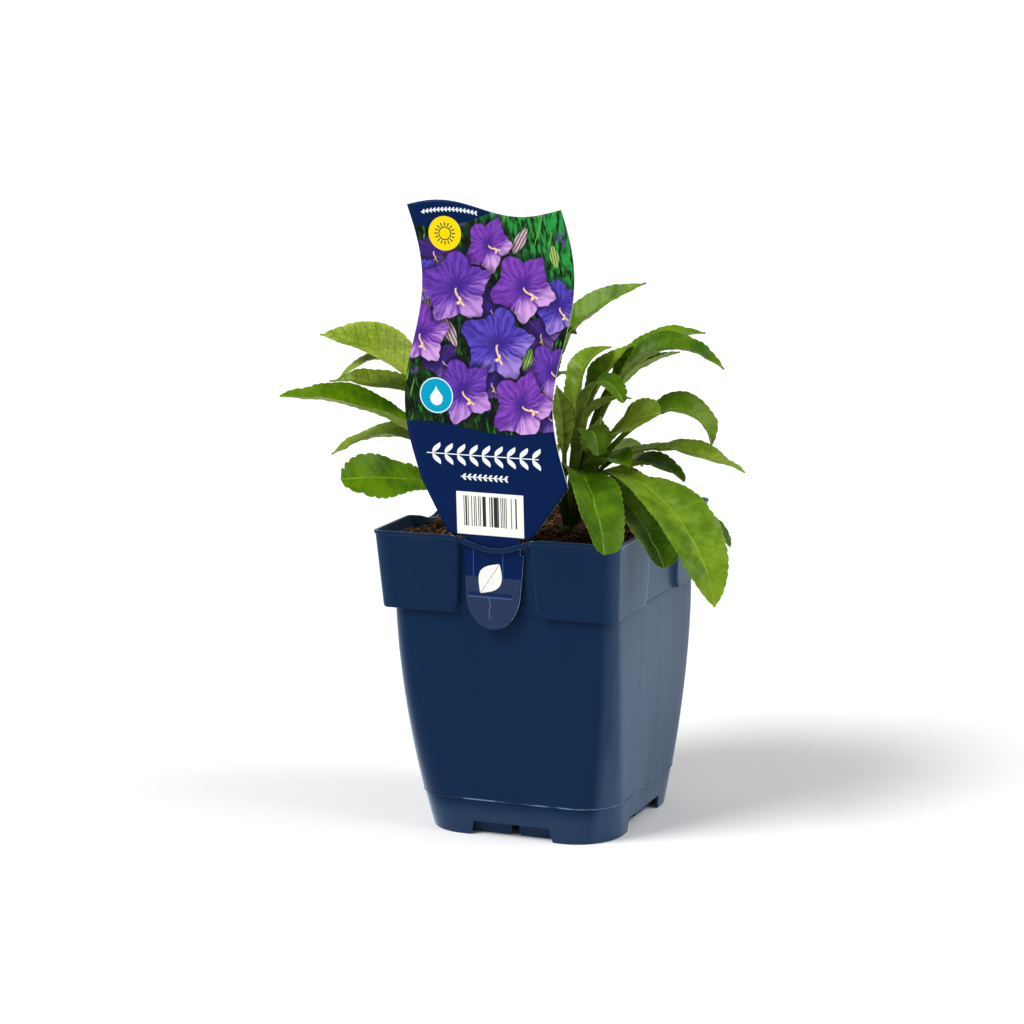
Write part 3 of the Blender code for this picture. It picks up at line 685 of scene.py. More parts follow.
def straps():
    """A rounded bar bridges each recess, level with the face of the collar."""
    reach = RECESS_HALF_TOP + RECESS_SIDE + STRAP_SINK
    half_out, half_up = WALL / 2 - STRAP_ROUND, STRAP_HEIGHT / 2 - STRAP_ROUND
    corners = ((half_out, half_up), (-half_out, half_up), (-half_out, -half_up), (half_out, -half_up))
    section = []
    for quarter, (out, up) in enumerate(corners):
        for k in range(4):
            angle = math.radians(90.0 * quarter + 30.0 * k)
            section.append((out + STRAP_ROUND * math.cos(angle), up + STRAP_ROUND * math.sin(angle)))
    bars = []
    for turn in range(4):
        rings = []
        for k in range(STRAP_STEPS + 1):
            x = reach * (2.0 * k / STRAP_STEPS - 1.0)
            z = rim_height(x) - STRAP_HEIGHT / 2
            rings.append([(x, WALL / 2 - face_half(z) - out, z + up) for out, up in section])
        bm = bmesh.new()
        loft(bm, rings)
        bar = mesh_object("strap", bm)
        bar.rotation_euler.z = math.radians(90.0 * turn)
        bars.append(bar)
    return bars


def foot():
    """The set-back inner skirt and the round middle foot, both under the floor."""
    top = FLOOR_HEIGHT + WALL / 2
    inner = INNER_SKIRT_INSET + WALL
    bm = bmesh.new()
    rings = [body_ring(top, inner), body_ring(INNER_SKIRT_LIFT, inner)]
    rings += [body_ring(INNER_SKIRT_LIFT, INNER_SKIRT_INSET), body_ring(top, INNER_SKIRT_INSET)]
    loft(bm, rings, round_again=True)
    middle_foot = cylinder("middle foot", CENTRE_FOOT_RADIUS, top, (0.0, 0.0, top / 2))
    return [mesh_object("inner skirt", bm), middle_foot]


def notch(turn, half, slant, high, near, far):
    """A cutter through one side of a skirt, narrower at its top."""
    bm = bmesh.new()
    bmesh.ops.create_cube(bm, size=1.0)
    for vert in bm.verts:
        top = vert.co.z > 0
        reach = half - (slant if top else 0.0)
        out = far if vert.co.y < 0 else near
        vert.co = (math.copysign(reach, vert.co.x), -out, high if top else -WALL)
    cutter = mesh_object("notch", bm)
    cutter.rotation_euler.z = math.radians(90.0 * turn)
    return cutter


def pot_cutters():
    """Foot notches, the gaps behind them and the drain holes."""
    skirt = body_half(0.0)
    inner = skirt - INNER_SKIRT_INSET
    cutters = []
    for turn in range(4):
        cutters.append(notch(turn, NOTCH_HALF, NOTCH_SLANT, NOTCH_HEIGHT, skirt - 2 * WALL, skirt + WALL))
        cutters.append(notch(turn, INNER_GAP_HALF, NOTCH_SLANT / 3, INNER_GAP_HEIGHT,
                             inner - 2 * WALL, inner + WALL / 2))
    for k in range(9):
        x, y = DRAIN_SPREAD * (k % 3 - 1), DRAIN_SPREAD * (k // 3 - 1)
        if x or y:
            cutters.append(cylinder("drain", DRAIN_RADIUS, 4 * WALL, (x, y, FLOOR_HEIGHT)))
    return cutters


def pot_paint(name, sheen_weight):
    """Navy plastic: soft upright bands of painted sheen on two sides, a painted highlight along the seam,
    faint scuffs and dusty marks at the rim.
    """
    paint = Paint(name)
    x, y, height = paint.place().parts()
    streaks = paint.noise(58.0, 3.0, vector=paint.place((1.0, 1.0, 0.07)))
    cloud = paint.noise(18.0, 3.0)
    grain = paint.noise(900.0, 2.0)
    scuffs = paint.noise(160.0, 5.0, 0.7, paint.place((0.4, 0.4, 2.5)))
    # Painted sheen: the two sides that face along x turn paler in soft upright bands.
    bands = (abs(x) - abs(y)).ramp(-0.007, 0.002) * streaks.ramp(0.40, 0.62, 0.35, 1.0)
    # Painted highlight: a pale, broken line along the seam's flash.
    seam = abs(height - SEAM_HEIGHT).ramp(0.0005, 0.0001) * scuffs.ramp(0.46, 0.60)
    dust = height.ramp(RIM_HEIGHT - DUST_REACH, RIM_HEIGHT) * cloud.ramp(0.5, 0.75)
    paint.start(streaks, POT_DARK, POT_LIGHT)
    paint.lay(bands, POT_BAND)
    paint.lay(height.ramp(SEAM_HEIGHT, 0.5 * SEAM_HEIGHT, 0.0, 0.5), POT_BAND)
    paint.lay(seam * 0.55, rgb(120, 150, 175))
    paint.lay(dust * 0.25, rgb(80, 88, 100))
    paint.bump(streaks + grain * 0.15, 0.25, 0.0003)
    rough = 0.30 + streaks * 0.14 + scuffs.ramp(0.55, 0.75, 0.0, 0.10)
    sheen = {"Sheen Weight": sheen_weight, "Sheen Roughness": 0.32, "Sheen Tint": POT_SHEEN}
    return paint.finish(rough, SOFT_GLOSS, sheen)


def is_collar_edge(place, normal):
    """Whether a face is on the collar's rounded lower edge or round the side of a recess."""
    along, out = sorted((abs(place.x), abs(place.y)))
    facing = abs(normal.y) if abs(place.x) < abs(place.y) else abs(normal.x)
    if COLLAR_HEIGHT - SEAM_STEP < place.z < COLLAR_HEIGHT + COLLAR_EDGE and out > BODY_HALF:
        return True
    beside = RECESS_HALF_TOP < along < RIM_HALF - 2 * COLLAR_CORNER
    return beside and facing < EDGE_FACING and COLLAR_HEIGHT < place.z < RIM_HEIGHT - 2 * LIP_HEIGHT


def build_pot():
    pot = mesh_object("pot_shell", pot_shell())
    combine(pot, "UNION", straps() + foot())
    combine(pot, "DIFFERENCE", pot_cutters())
    shade(pot.data, POT_SHARP)
    pot.data.materials.append(pot_paint("pot_plastic", 1.0))
    pot.data.materials.append(pot_paint("pot_plastic_edge", EDGE_SHEEN))
    for face in pot.data.polygons:
        face.material_index = int(is_collar_edge(face.center, face.normal))
    stands_for(pot, "pot_plastic", "pot")


# The soil
def from_crowns(x, y):
    """How far a point is from the middle of the nearest crown."""
    return min(math.hypot(x - cx, y - cy) for (cx, cy), _ in ROSETTES.values())


def soil_height(x, y):
    """A low mound with clods, level at the pot's wall and round the crowns."""
    from_wall = (RIM_HALF - max(abs(x), abs(y))) / SOIL_SHOULDER
    share = min(1.0, from_wall, (from_crowns(x, y) - CROWN_RADIUS) / SOIL_SHOULDER)
    clods = SOIL_CLODS * noise.noise(Vector((x, y, 0.0)) * CLOD_SCALE)
    return SOIL_EDGE + max(0.0, share) * (SOIL_MOUND + clods)


def soil_surface(x, y):
    """The soil's height with its crumbled texture."""
    rough = sum(depth * noise.noise(Vector((x, y, 0.3)) * scale) for depth, scale in SOIL_ROUGHNESS)
    return soil_height(x, y) + rough


def soil_body():
    inset = WALL + CLEARANCE
    ledge = COLLAR_HEIGHT + inset
    rings = [body_ring(z, inset) for z in (FLOOR_HEIGHT + inset, *SOIL_LEVELS)]
    rings += [body_ring(ledge, inset), collar_ring(0.0, ledge, inset)]
    rings += [collar_ring(0.0, ledge + RECESS_FILLET, inset), collar_ring(0.0, SOIL_EDGE - WALL, inset)]
    rim = collar_ring(0.0, SOIL_EDGE, inset)
    for k in range(SOIL_RINGS):
        share = 1.0 - k / SOIL_RINGS
        spots = [(point.x * share, point.y * share) for point in rim]
        rings.append([(*spot, soil_surface(*spot)) for spot in spots])
    bm = bmesh.new()
    loft(bm, rings)
    return bm


def soil_spot(chance):
    """A random place on the soil, clear of the crowns."""
    limit = face_half(SOIL_EDGE) - 3 * WALL
    while True:
        x, y = chance.uniform(-SOIL_REACH, SOIL_REACH), chance.uniform(-SOIL_REACH, SOIL_REACH)
        if from_crowns(x, y) > CROWN_RADIUS + CROWN_CLEARANCE and max(abs(x), abs(y)) < limit:
            return x, y


def crumb(bm, tone, chance, middle, size):
    """One rough lump."""
    turn = Matrix.Rotation(chance.uniform(0, math.tau), 4, Vector((chance.random(), 1.0, chance.random())))
    place = Matrix.Translation(middle) @ turn
    place = place @ Matrix.Diagonal((1.0, chance.uniform(0.6, 1.0), chance.uniform(0.5, 0.8), 1.0))
    tint = chance.random()
    for vert in bmesh.ops.create_icosphere(bm, subdivisions=2, radius=size, matrix=place)["verts"]:
        away = noise.noise(vert.co * CRUMB_LUMPS) * size * 0.5
        vert.co += (vert.co - place.translation).normalized() * away
        vert[tone] = tint


def crumbs(chance):
    """Clods and crumbs, half sunk in the soil, and a few on the front strap."""
    bm = bmesh.new()
    tone = bm.verts.layers.float.new("tone")
    for _ in range(CRUMBS):
        x, y = soil_spot(chance)
        size = CRUMB_SIZE[0] + (CRUMB_SIZE[1] - CRUMB_SIZE[0]) * chance.random() ** 2.5
        crumb(bm, tone, chance, (x, y, soil_surface(x, y) + size * 0.15), size)
    for x in STRAP_CRUMBS:
        level = rim_height(x)
        place = (x, WALL / 2 - face_half(level), level + STRAP_CRUMB_SIZE * 0.3)
        crumb(bm, tone, chance, place, STRAP_CRUMB_SIZE)
    return bm


def tube(bm, layer, points, half, tone):
    """A thin four-sided tube along points."""
    loops = []
    for k, point in enumerate(points):
        ahead = points[min(k + 1, len(points) - 1)] - points[max(k - 1, 0)]
        side = ahead.cross(Vector((0.3, 0.1, 1.0))).normalized()
        up = side.cross(ahead).normalized()
        slim = half * (1.0 - 0.6 * abs(2.0 * k / (len(points) - 1) - 1.0))
        loops.append([point + corner * slim for corner in (side, up, -side, -up)])
    for loop in loft(bm, loops):
        for vert in loop:
            vert[layer] = tone


def fibres(chance):
    """Coir and root fibres that curl over the soil."""
    bm = bmesh.new()
    tone = bm.verts.layers.float.new("tone")
    limit = face_half(SOIL_EDGE) - 3.2 * WALL
    for _ in range(FIBRES):
        x, y = soil_spot(chance)
        heading = chance.uniform(0, math.tau)
        step = chance.uniform(*FIBRE_LENGTH) / FIBRE_STEPS
        bend = chance.uniform(-0.5, 0.5)
        lift = chance.uniform(0.0003, 0.0018)
        points = []
        for k in range(FIBRE_STEPS + 1):
            x, y = max(-limit, min(limit, x)), max(-limit, min(limit, y))
            arch = lift * math.sin(math.pi * k / FIBRE_STEPS)
            points.append(Vector((x, y, soil_surface(x, y) + arch)))
            x += step * math.cos(heading)
            y += step * math.sin(heading)
            heading += bend
        tube(bm, tone, points, chance.uniform(*FIBRE_HALF), chance.random())
    return bm


def soil_paint():
    """Dark damp peat with browner, drier patches."""
    paint = Paint("soil_peat")
    grain = paint.noise(700.0, 6.0, 0.75)
    paint.start(paint.noise(70.0, 6.0, 0.7).ramp(0.40, 0.65), rgb(22, 14, 8), rgb(62, 40, 22))
    paint.lay(grain.ramp(0.52, 0.72, 0.0, 0.8), rgb(104, 70, 38))
    paint.bump(grain, 0.8, 0.0008)
    return paint.finish(0.95, SOIL_GLOSS)


def crumb_paint():
    paint = Paint("soil_crumb")
    tone = paint.attribute("tone")
    grain = paint.noise(1100.0, 5.0, 0.7)
    paint.start(tone, rgb(18, 11, 6), rgb(74, 46, 24))
    paint.lay(tone.ramp(0.90, 0.98), rgb(140, 98, 54))
    paint.lay(grain.ramp(0.5, 0.8, 0.0, 0.5), rgb(110, 74, 40))
    paint.bump(grain, 0.7, 0.0005)
    return paint.finish(0.92, SOIL_GLOSS)


def fibre_paint():
    paint = Paint("soil_fibre")
    tone = paint.attribute("tone")
    paint.start(tone, rgb(70, 42, 20), rgb(168, 118, 62))
    paint.lay(tone.ramp(0.92, 0.97), rgb(205, 180, 130))
    return paint.finish(0.7, FIBRE_GLOSS)


def build_soil():
    chance = random.Random(SOIL_SEED)
    soil = mesh_object("soil_bed", soil_body(), soil_paint(), smooth=70)
    stands_for(soil, "soil_peat", "potting_soil")
    stands_for(mesh_object("soil_crumbs", crumbs(chance), crumb_paint(), smooth=50), "soil_peat")
    stands_for(mesh_object("soil_fibres", fibres(chance), fibre_paint(), smooth=60), "soil_peat")


# The label
def label_edges(up):
    """The label's left and right edges at a height along it, from the neck up."""
    if up >= LABEL_KNEE:
        shift = WAVE_SHIFT + SIDE_WAVE * math.sin(math.pi * (up - SIDE_WAVE_MIDDLE) / SIDE_WAVE_LENGTH)
        return shift - LABEL_HALF, shift + LABEL_HALF
    left_knee, right_knee = label_edges(LABEL_KNEE)
    share = max(0.0, (up - LABEL_FOOT) / (LABEL_KNEE - LABEL_FOOT))
    return (-LABEL_FOOT_HALF + (left_knee + LABEL_FOOT_HALF) * share,
            LABEL_FOOT_HALF + (right_knee - LABEL_FOOT_HALF) * share)


def tongue_half(up):
    """Half the tongue's width at a height below the neck, rounded off at its tip."""
    above_tip = up + TONGUE_LENGTH
    if above_tip >= TONGUE_ROUND:
        return TONGUE_HALF - TONGUE_TAPER * (TONGUE_TOP - up)
    full = TONGUE_HALF - TONGUE_TAPER * (TONGUE_LENGTH - TONGUE_ROUND + TONGUE_TOP)
    share = 1.0 - above_tip / TONGUE_ROUND
    return full * math.sqrt(max(0.0, 1.0 - share ** TONGUE_FULLNESS))


def place_on_label(across, up):
    """Carries a point of the flat label to its place in the pot."""
    roll = across * math.cos(LABEL_ROLL) + up * math.sin(LABEL_ROLL)
    rise = up * math.cos(LABEL_ROLL) - across * math.sin(LABEL_ROLL)
    lean = math.tan(LABEL_LEAN) * rise if up >= 0.0 else 0.0
    curl = LABEL_CURL * max(0.0, rise / LABEL_TOP) ** 2 * (across / LABEL_HALF)
    kick = TONGUE_KICK * max(0.0, TONGUE_BEND - up)
    return Vector((LABEL_CENTRE + roll, LABEL_DEPTH - lean + curl - kick, NECK_HEIGHT + rise))


def label_rows():
    """Rows of the label from the tongue's tip to its top: (left, right, height) each."""
    turns = [math.radians(90.0 * (k + 0.4) / TONGUE_TIP_ROWS) for k in range(TONGUE_TIP_ROWS)]
    levels = [TONGUE_ROUND * (1.0 - math.cos(turn)) - TONGUE_LENGTH for turn in turns]
    rows = [(tongue_half(up), up) for up in (*levels, *TONGUE_ROWS)]
    rows += [(NECK_HALF, up) for up in (TONGUE_TOP + LABEL_THICKNESS, 0.0, NECK_TOP)]
    rows = [(TONGUE_SHIFT - half, TONGUE_SHIFT + half, up) for half, up in rows]
    levels = [LABEL_FOOT + (LABEL_KNEE - LABEL_FOOT) * k / FOOT_ROWS for k in range(FOOT_ROWS)]
    levels += [LABEL_KNEE + (LABEL_TOP - LABEL_KNEE) * k / LABEL_ROWS for k in range(LABEL_ROWS + 1)]
    return rows + [(*label_edges(up), up) for up in levels]


def label_sheet():
    bm = bmesh.new()
    grid = []
    for left, right, up in label_rows():
        row = []
        for k in range(LABEL_COLUMNS + 1):
            across = left + (right - left) * k / LABEL_COLUMNS
            crest = -TOP_WAVE * math.sin(math.pi * (across + WAVE_SHIFT) / TOP_WAVE_LENGTH)
            share = max(0.0, (up - LABEL_KNEE) / (LABEL_TOP - LABEL_KNEE))
            row.append(bm.verts.new(place_on_label(across, up + crest * share ** 3)))
        grid.append(row)
    for lower, upper, (_, _, up) in zip(grid, grid[1:], label_rows()):
        for k in range(LABEL_COLUMNS):
            face = bm.faces.new((lower[k], lower[k + 1], upper[k + 1], upper[k]))
            face.material_index = sum(up / MM < edge for edge in PRINT_EDGES)
    return bm


def flat_label(paint):
    """How far across and up the flat label a point is, in millimetres."""
    x, _, z = paint.place().parts()
    roll = (x - LABEL_CENTRE) * (1.0 / MM)
    rise = (z - NECK_HEIGHT) * (1.0 / MM)
    turn_cos, turn_sin = math.cos(LABEL_ROLL), math.sin(LABEL_ROLL)
    return roll * turn_cos - rise * turn_sin, roll * turn_sin + rise * turn_cos


def local(paint, spot, middle, turn=0.0, size=(1.0, 1.0)):
    """A point of the label measured from a middle, turned in degrees and divided by a size."""
    inputs = {"Vector": paint.take("CombineXYZ", dict(enumerate(spot))), "Location": (*middle, 0.0),
              "Rotation": (0.0, 0.0, math.radians(turn)), "Scale": (*size, 1.0)}
    return paint.take("Mapping", inputs, vector_type="TEXTURE")


def petals(paint, vector, petal, turn, tone):
    """A bellflower's inside, lit from its lower right: petals, throat and forked style."""
    x, y, _ = vector.parts()
    radius = vector.length()
    ray = paint.vector("NORMALIZE", vector)
    streaks = paint.noise(7.0, 4.0, 0.6, paint.vector("MULTIPLY_ADD", vector, (0.3, 0.3, 0.0), ray))
    sun = Matrix.Rotation(math.radians(-turn), 3, "Z") @ SUN_SIDE
    lit = paint.vector("DOT_PRODUCT", vector, sun, output="Value") + (streaks - 0.5) * 1.3 + petal * 0.25
    deep, mid, light = tone
    paint.start(streaks.ramp(0.36, 0.62), deep, mid)
    paint.lay(lit.ramp(0.30, 0.95, 0.0, 0.9), light)
    paint.lay(petal.ramp(0.20, 0.0) * radius.ramp(0.2, 0.5, 0.0, 0.7), deep)
    paint.lay(petal.ramp(0.97, 1.0) * 0.35, deep)
    paint.lay(radius.ramp(0.46, 0.08, 0.0, 0.85), DARK_THROAT)
    style = abs(x).within(0.026, 0.02) * y.ramp(-STYLE_LENGTH, -0.40) * y.ramp(0.02, -0.02)
    fork = paint.vector("ADD", vector, (0.0, STYLE_LENGTH, 0.0))
    arms = abs((fork.angle() * 1.5).sine()) ** 3.0 * STYLE_FORK
    paint.lay(paint.math("MAXIMUM", style, fork.length().within(arms, 0.03)), rgb(240, 204, 140))


def flower(paint, spot, middle, turn, size, tone):
    """Lays an open bellflower and its shadow over the picture."""
    vector = local(paint, spot, middle, turn, size)
    drift = paint.vector("SUBTRACT", paint.noise(1.7, 2.0, 0.5, vector, "Color"), (0.5, 0.5, 0.5))
    vector = paint.vector("MULTIPLY_ADD", drift, (0.36, 0.36, 0.0), vector)
    petal = abs((vector.angle() * 2.5).cosine())
    beyond = vector.length() - (0.70 + petal ** 0.8 * 0.18 + petal ** 8.0 * 0.16)
    paint.lay(beyond.ramp(0.24, 0.0, 0.0, 0.7), rgb(12, 12, 22))
    paint.lay_drawn(beyond.ramp(0.02, -0.02), petals, vector, petal, turn, tone)


def bud(paint, spot, middle, turn, size, tone):
    """Lays a closed bud over the picture: a striped shape with pointed ends."""
    x, y, _ = local(paint, spot, middle, turn, size).parts()
    beyond = abs(x) - (1.0 - abs(y) ** 1.8)
    paint.lay(beyond.ramp(0.5, 0.0, 0.0, 0.6), rgb(12, 14, 12))
    stripes = abs((x * 5.5).sine()).ramp(0.2, 0.8)
    paint.lay(beyond.ramp(0.1, -0.1), paint.mix(stripes, *tone))


def meadow(paint, spot):
    """The picture's ground: dark gaps, blurred blades and stems, and far flowers."""
    across, up = spot
    blades = paint.noise(0.62, 3.0, 0.6, local(paint, spot, (0.0, 0.0), 10.0, (1.0, 4.5)))
    stems = paint.noise(0.50, 2.0, vector=local(paint, spot, (0.0, 0.0), -14.0, (1.0, 8.0)))
    patches = paint.noise(0.10, 3.0, 0.6, local(paint, spot, (0.0, 0.0)))
    bright = (across + up).ramp(122.0, 152.0)
    paint.start(patches.ramp(0.42, 0.62), rgb(12, 20, 10), rgb(24, 52, 20))
    paint.lay(patches.ramp(0.60, 0.66, 0.0, 0.7), rgb(92, 62, 146))
    paint.lay(blades.ramp(0.54, 0.66, 0.0, 0.8), rgb(40, 116, 42))
    paint.lay(bright * blades.ramp(0.40, 0.60), rgb(40, 142, 60))
    paint.lay(stems.ramp(0.63, 0.67, 0.0, 0.9), rgb(96, 150, 62))
    paint.lay(blades.ramp(0.68, 0.76), rgb(120, 190, 92))


def picture(paint, spot, low, high):
    """The part of the picture that reaches into a band of the label."""
    meadow(paint, spot)
    for draw, things in (flower, FAR_FLOWERS), (bud, BUDS), (flower, NEAR_FLOWERS):
        for middle, *details in things:
            if low - FLOWER_REACH < middle[1] < high + FLOWER_REACH:
                draw(paint, spot, middle, *details)


def box_mask(across, up, left, right, low, high, blur=PRINT_BLUR):
    """1 inside an upright box on the label."""
    return (across.ramp(left - blur, left + blur) * across.ramp(right + blur, right - blur)
            * up.ramp(low - blur, low + blur) * up.ramp(high + blur, high - blur))


def sun_mark(paint, spot):
    """A yellow spot with a plain sun: a ring with short rays."""
    vector = local(paint, spot, SUN_MIDDLE)
    radius = vector.length()
    paint.lay(radius.within(SUN_RADIUS, PRINT_BLUR), rgb(228, 204, 2))
    ring = abs(radius - SUN_RING).within(0.23, 0.06)
    rays = (vector.angle() * SUN_RAYS).cosine().ramp(0.35, 0.60)
    rays = rays * radius.ramp(3.0, 3.1) * radius.ramp(4.5, 4.4)
    paint.lay(paint.math("MAXIMUM", ring, rays), rgb(30, 52, 60))


def drop_mark(paint, spot):
    """A teal spot with a white rim and a plain drop."""
    vector = local(paint, spot, DROP_MIDDLE)
    x, y, _ = vector.parts()
    radius = vector.length()
    paint.lay(radius.within(DROP_RADIUS, PRINT_BLUR), rgb(214, 234, 238))
    paint.lay(radius.within(DROP_RADIUS - 0.45, PRINT_BLUR), rgb(0, 148, 182))
    bottom = local(paint, spot, DROP_BOTTOM).length().within(2.7, PRINT_BLUR)
    top = abs(x).within(y.ramp(4.2, -1.6) * 3.0, PRINT_BLUR) * y.ramp(-0.9, -0.7) * y.ramp(4.2, 4.0)
    paint.lay(paint.math("MAXIMUM", bottom, top), rgb(232, 244, 246))


def sprig_mark(paint, spot, middle, half, leaf_length, pairs):
    """A white sprig: a stem with slim leaves on both sides."""
    x, y, _ = local(paint, spot, middle).parts()
    pitch = 2.0 * half / pairs
    side = abs(y)
    stem = side.within(0.2, 0.06) * abs(x).ramp(half, half - 0.2)
    slanted = x - side * 0.75
    cell = paint.math("FLOORED_MODULO", slanted + half, pitch) - pitch / 2
    swell = (paint.math("MINIMUM", side, leaf_length) * (math.pi / leaf_length)).sine()
    leaves = (abs(cell).within(swell * (pitch * 0.25), 0.10) * abs(slanted).ramp(half, half - 0.1)
              * side.ramp(leaf_length, leaf_length - 0.1))
    paint.lay(paint.math("MAXIMUM", stem, leaves), rgb(232, 236, 236))


def stripe_panel(paint, spot):
    """A pale panel with plain upright stripes of uneven widths."""
    left, right, low, high = PANEL
    paint.lay(box_mask(*spot, left, right, low, high), PRINT_WHITE)
    cells = paint.math("FLOOR", spot[0] * STRIPES_PER_MM)
    chance = paint.take("TexWhiteNoise", {"W": cells}, noise_dimensions="1D")
    bars = box_mask(*spot, left + 3.2, right - 3.0, low + 3.6, high - 1.6)
    paint.lay(bars * chance.ramp(0.48, 0.52), rgb(44, 44, 46))


def tongue_look(paint, spot):
    """The lower tongue paler below its bend, a painted reflection, its folds and slit, and a plain white
    leaf.
    """
    across, up = spot
    # Painted reflection: the tongue below its bend is paler, as if it caught the bright surroundings.
    paint.lay(up.ramp(-12.4, -12.8), rgb(38, 50, 80))
    for fold in TONGUE_FOLDS:
        line = abs(across - fold).within(0.10, 0.08) * up.ramp(-12.7, -12.5) * up.ramp(-1.0, -1.2)
        paint.lay(line * 0.7, rgb(70, 110, 160))
    paint.lay(box_mask(*spot, *SLIT_SIDES, -20.4, -19.0, 0.3) * 0.8, rgb(8, 30, 76))
    paint.lay(box_mask(*spot, *SLIT_SIDES, -21.1, -20.8, 0.15) * 0.6, rgb(92, 116, 156))
    wander = (up * 1.1).sine() * 0.25
    paint.lay(box_mask(across + wander, up, -0.15, 0.1, -29.8, -21.2, 0.12) * 0.5, rgb(120, 136, 170))
    x, y, _ = local(paint, spot, LEAF_MARK, LEAF_MARK_TURN).parts()
    reach = paint.math("MAXIMUM", y + LEAF_MARK_HALF, 0.0)
    reach = paint.math("MINIMUM", reach, 2 * LEAF_MARK_HALF)
    width = (reach * (0.5 * math.pi / LEAF_MARK_HALF)).sine() * LEAF_MARK_WIDTH
    leaf = abs(x).within(width, PRINT_BLUR) * abs(y).ramp(LEAF_MARK_HALF, LEAF_MARK_HALF - 0.1)
    ribs = abs(((y - abs(x) * 0.8) * 1.35).sine()).ramp(0.12, 0.04)
    lines = paint.math("MAXIMUM", ribs, abs(x).within(0.16, 0.06)) * 0.8
    paint.lay(leaf, paint.mix(lines, PRINT_WHITE, rgb(92, 96, 96)))


def label_paint(name, low, high):
    """A band of the printed front: navy, a picture of bellflowers, plain marks and stripes."""
    paint = Paint(name)
    across, up = spot = flat_label(paint)
    paint.start(paint.noise(60.0), rgb(0, 23, 65), rgb(0, 28, 75))
    if high > PICTURE_FOOT:
        turn = (across - PICTURE_CREST) * (math.pi / PICTURE_HALF_WAVE)
        above = (up - (turn.cosine() * PICTURE_WAVE_HEIGHT + PICTURE_BOTTOM)).ramp(-0.06, 0.06)
        offset = across - PICTURE_LOW_POINT
        below = (up - (PICTURE_TOP + offset * offset * PICTURE_RISE)).ramp(0.06, -0.06)
        paint.lay_drawn(above * below, picture, spot, low, high)
        if low > PICTURE_FOOT:
            sun_mark(paint, spot)
            offset = across - TOP_SPRIG[0][0]
            sprig_mark(paint, (across, up + offset * offset * TOP_SPRIG_ARCH), *TOP_SPRIG)
        else:
            drop_mark(paint, spot)
    else:
        paint.lay_drawn(up.ramp(0.4, 0.2), tongue_look, spot)
        sprig_mark(paint, spot, *WIDE_SPRIG)
        sprig_mark(paint, spot, *SHORT_SPRIG)
        stripe_panel(paint, spot)
    speckle = paint.noise(500.0, 2.0)
    wobble = paint.noise(30.0, 2.0, vector=paint.place((1.0, 1.0, 0.6)))
    paint.bump(wobble * 3.0 + speckle * 0.06, 0.2, 0.0006)
    return paint.finish(0.29 + speckle * 0.12, SOFT_GLOSS)


def label_back_paint():
    """The plain back: pale plastic with a soft mottle and a navy foot."""
    paint = Paint("label_back")
    mottle = paint.noise(220.0)
    paint.start(mottle, rgb(222, 224, 218), rgb(238, 238, 232))
    paint.lay(flat_label(paint)[1].ramp(27.2, 26.8), rgb(2, 28, 68))
    paint.bump(mottle, 0.1, 0.0003)
    return paint.finish(0.38)


def label_edge_paint():
    paint = Paint("label_edge")
    paint.start(paint.noise(400.0), rgb(150, 168, 184), rgb(206, 214, 218))
    return paint.finish(0.4)


def build_label():
    upper, lower = PRINT_EDGES
    bands = (("label_print_top", upper, LABEL_TOP / MM), ("label_print", lower, upper),
             ("label_print_foot", -TONGUE_LENGTH / MM, lower))
    prints = [label_paint(*band) for band in bands]
    backs = [label_back_paint()] * len(prints)
    edges = [label_edge_paint()] * len(prints)
    label = mesh_object("label_sheet", label_sheet(), *prints, *backs, *edges, smooth=30)
    solidify = label.modifiers.new("thickness", "SOLIDIFY")
    solidify.thickness = LABEL_THICKNESS
    solidify.offset = 0.0
    solidify.use_even_offset = True
    solidify.material_offset = len(prints)
    solidify.material_offset_rim = 2 * len(prints)
    stands_for(label, "label_print", "plant_label")


# The leaves
def bezier(points, t):
    a, b, c, d = points
    s = 1.0 - t
    return a * s ** 3 + b * 3 * s * s * t + c * 3 * s * t * t + d * t ** 3


def leaf_path(leaf, crown):
    """The four points of the midrib's curve, from inside the crown to the leaf's tip."""
    tip = Vector(leaf.tip)
    heading = Vector((tip.x - crown[0], tip.y - crown[1], 0.0)).normalized()
    root = Vector((crown[0], crown[1], LEAF_ROOT_HEIGHT)) + heading * ROOT_SPREAD
    chord = (tip - root).length
    rise = math.radians(leaf.rise)
    droop = math.radians(leaf.droop)
    climb = heading * math.cos(rise) + Vector((0.0, 0.0, math.sin(rise)))
    fall = heading * math.cos(droop) + Vector((0.0, 0.0, math.sin(droop)))
    reach = DROOP_REACH + HANG_REACH * max(0.0, -math.sin(droop))
    return root, root + climb * chord * RISE_REACH, tip - fall * chord * reach, tip


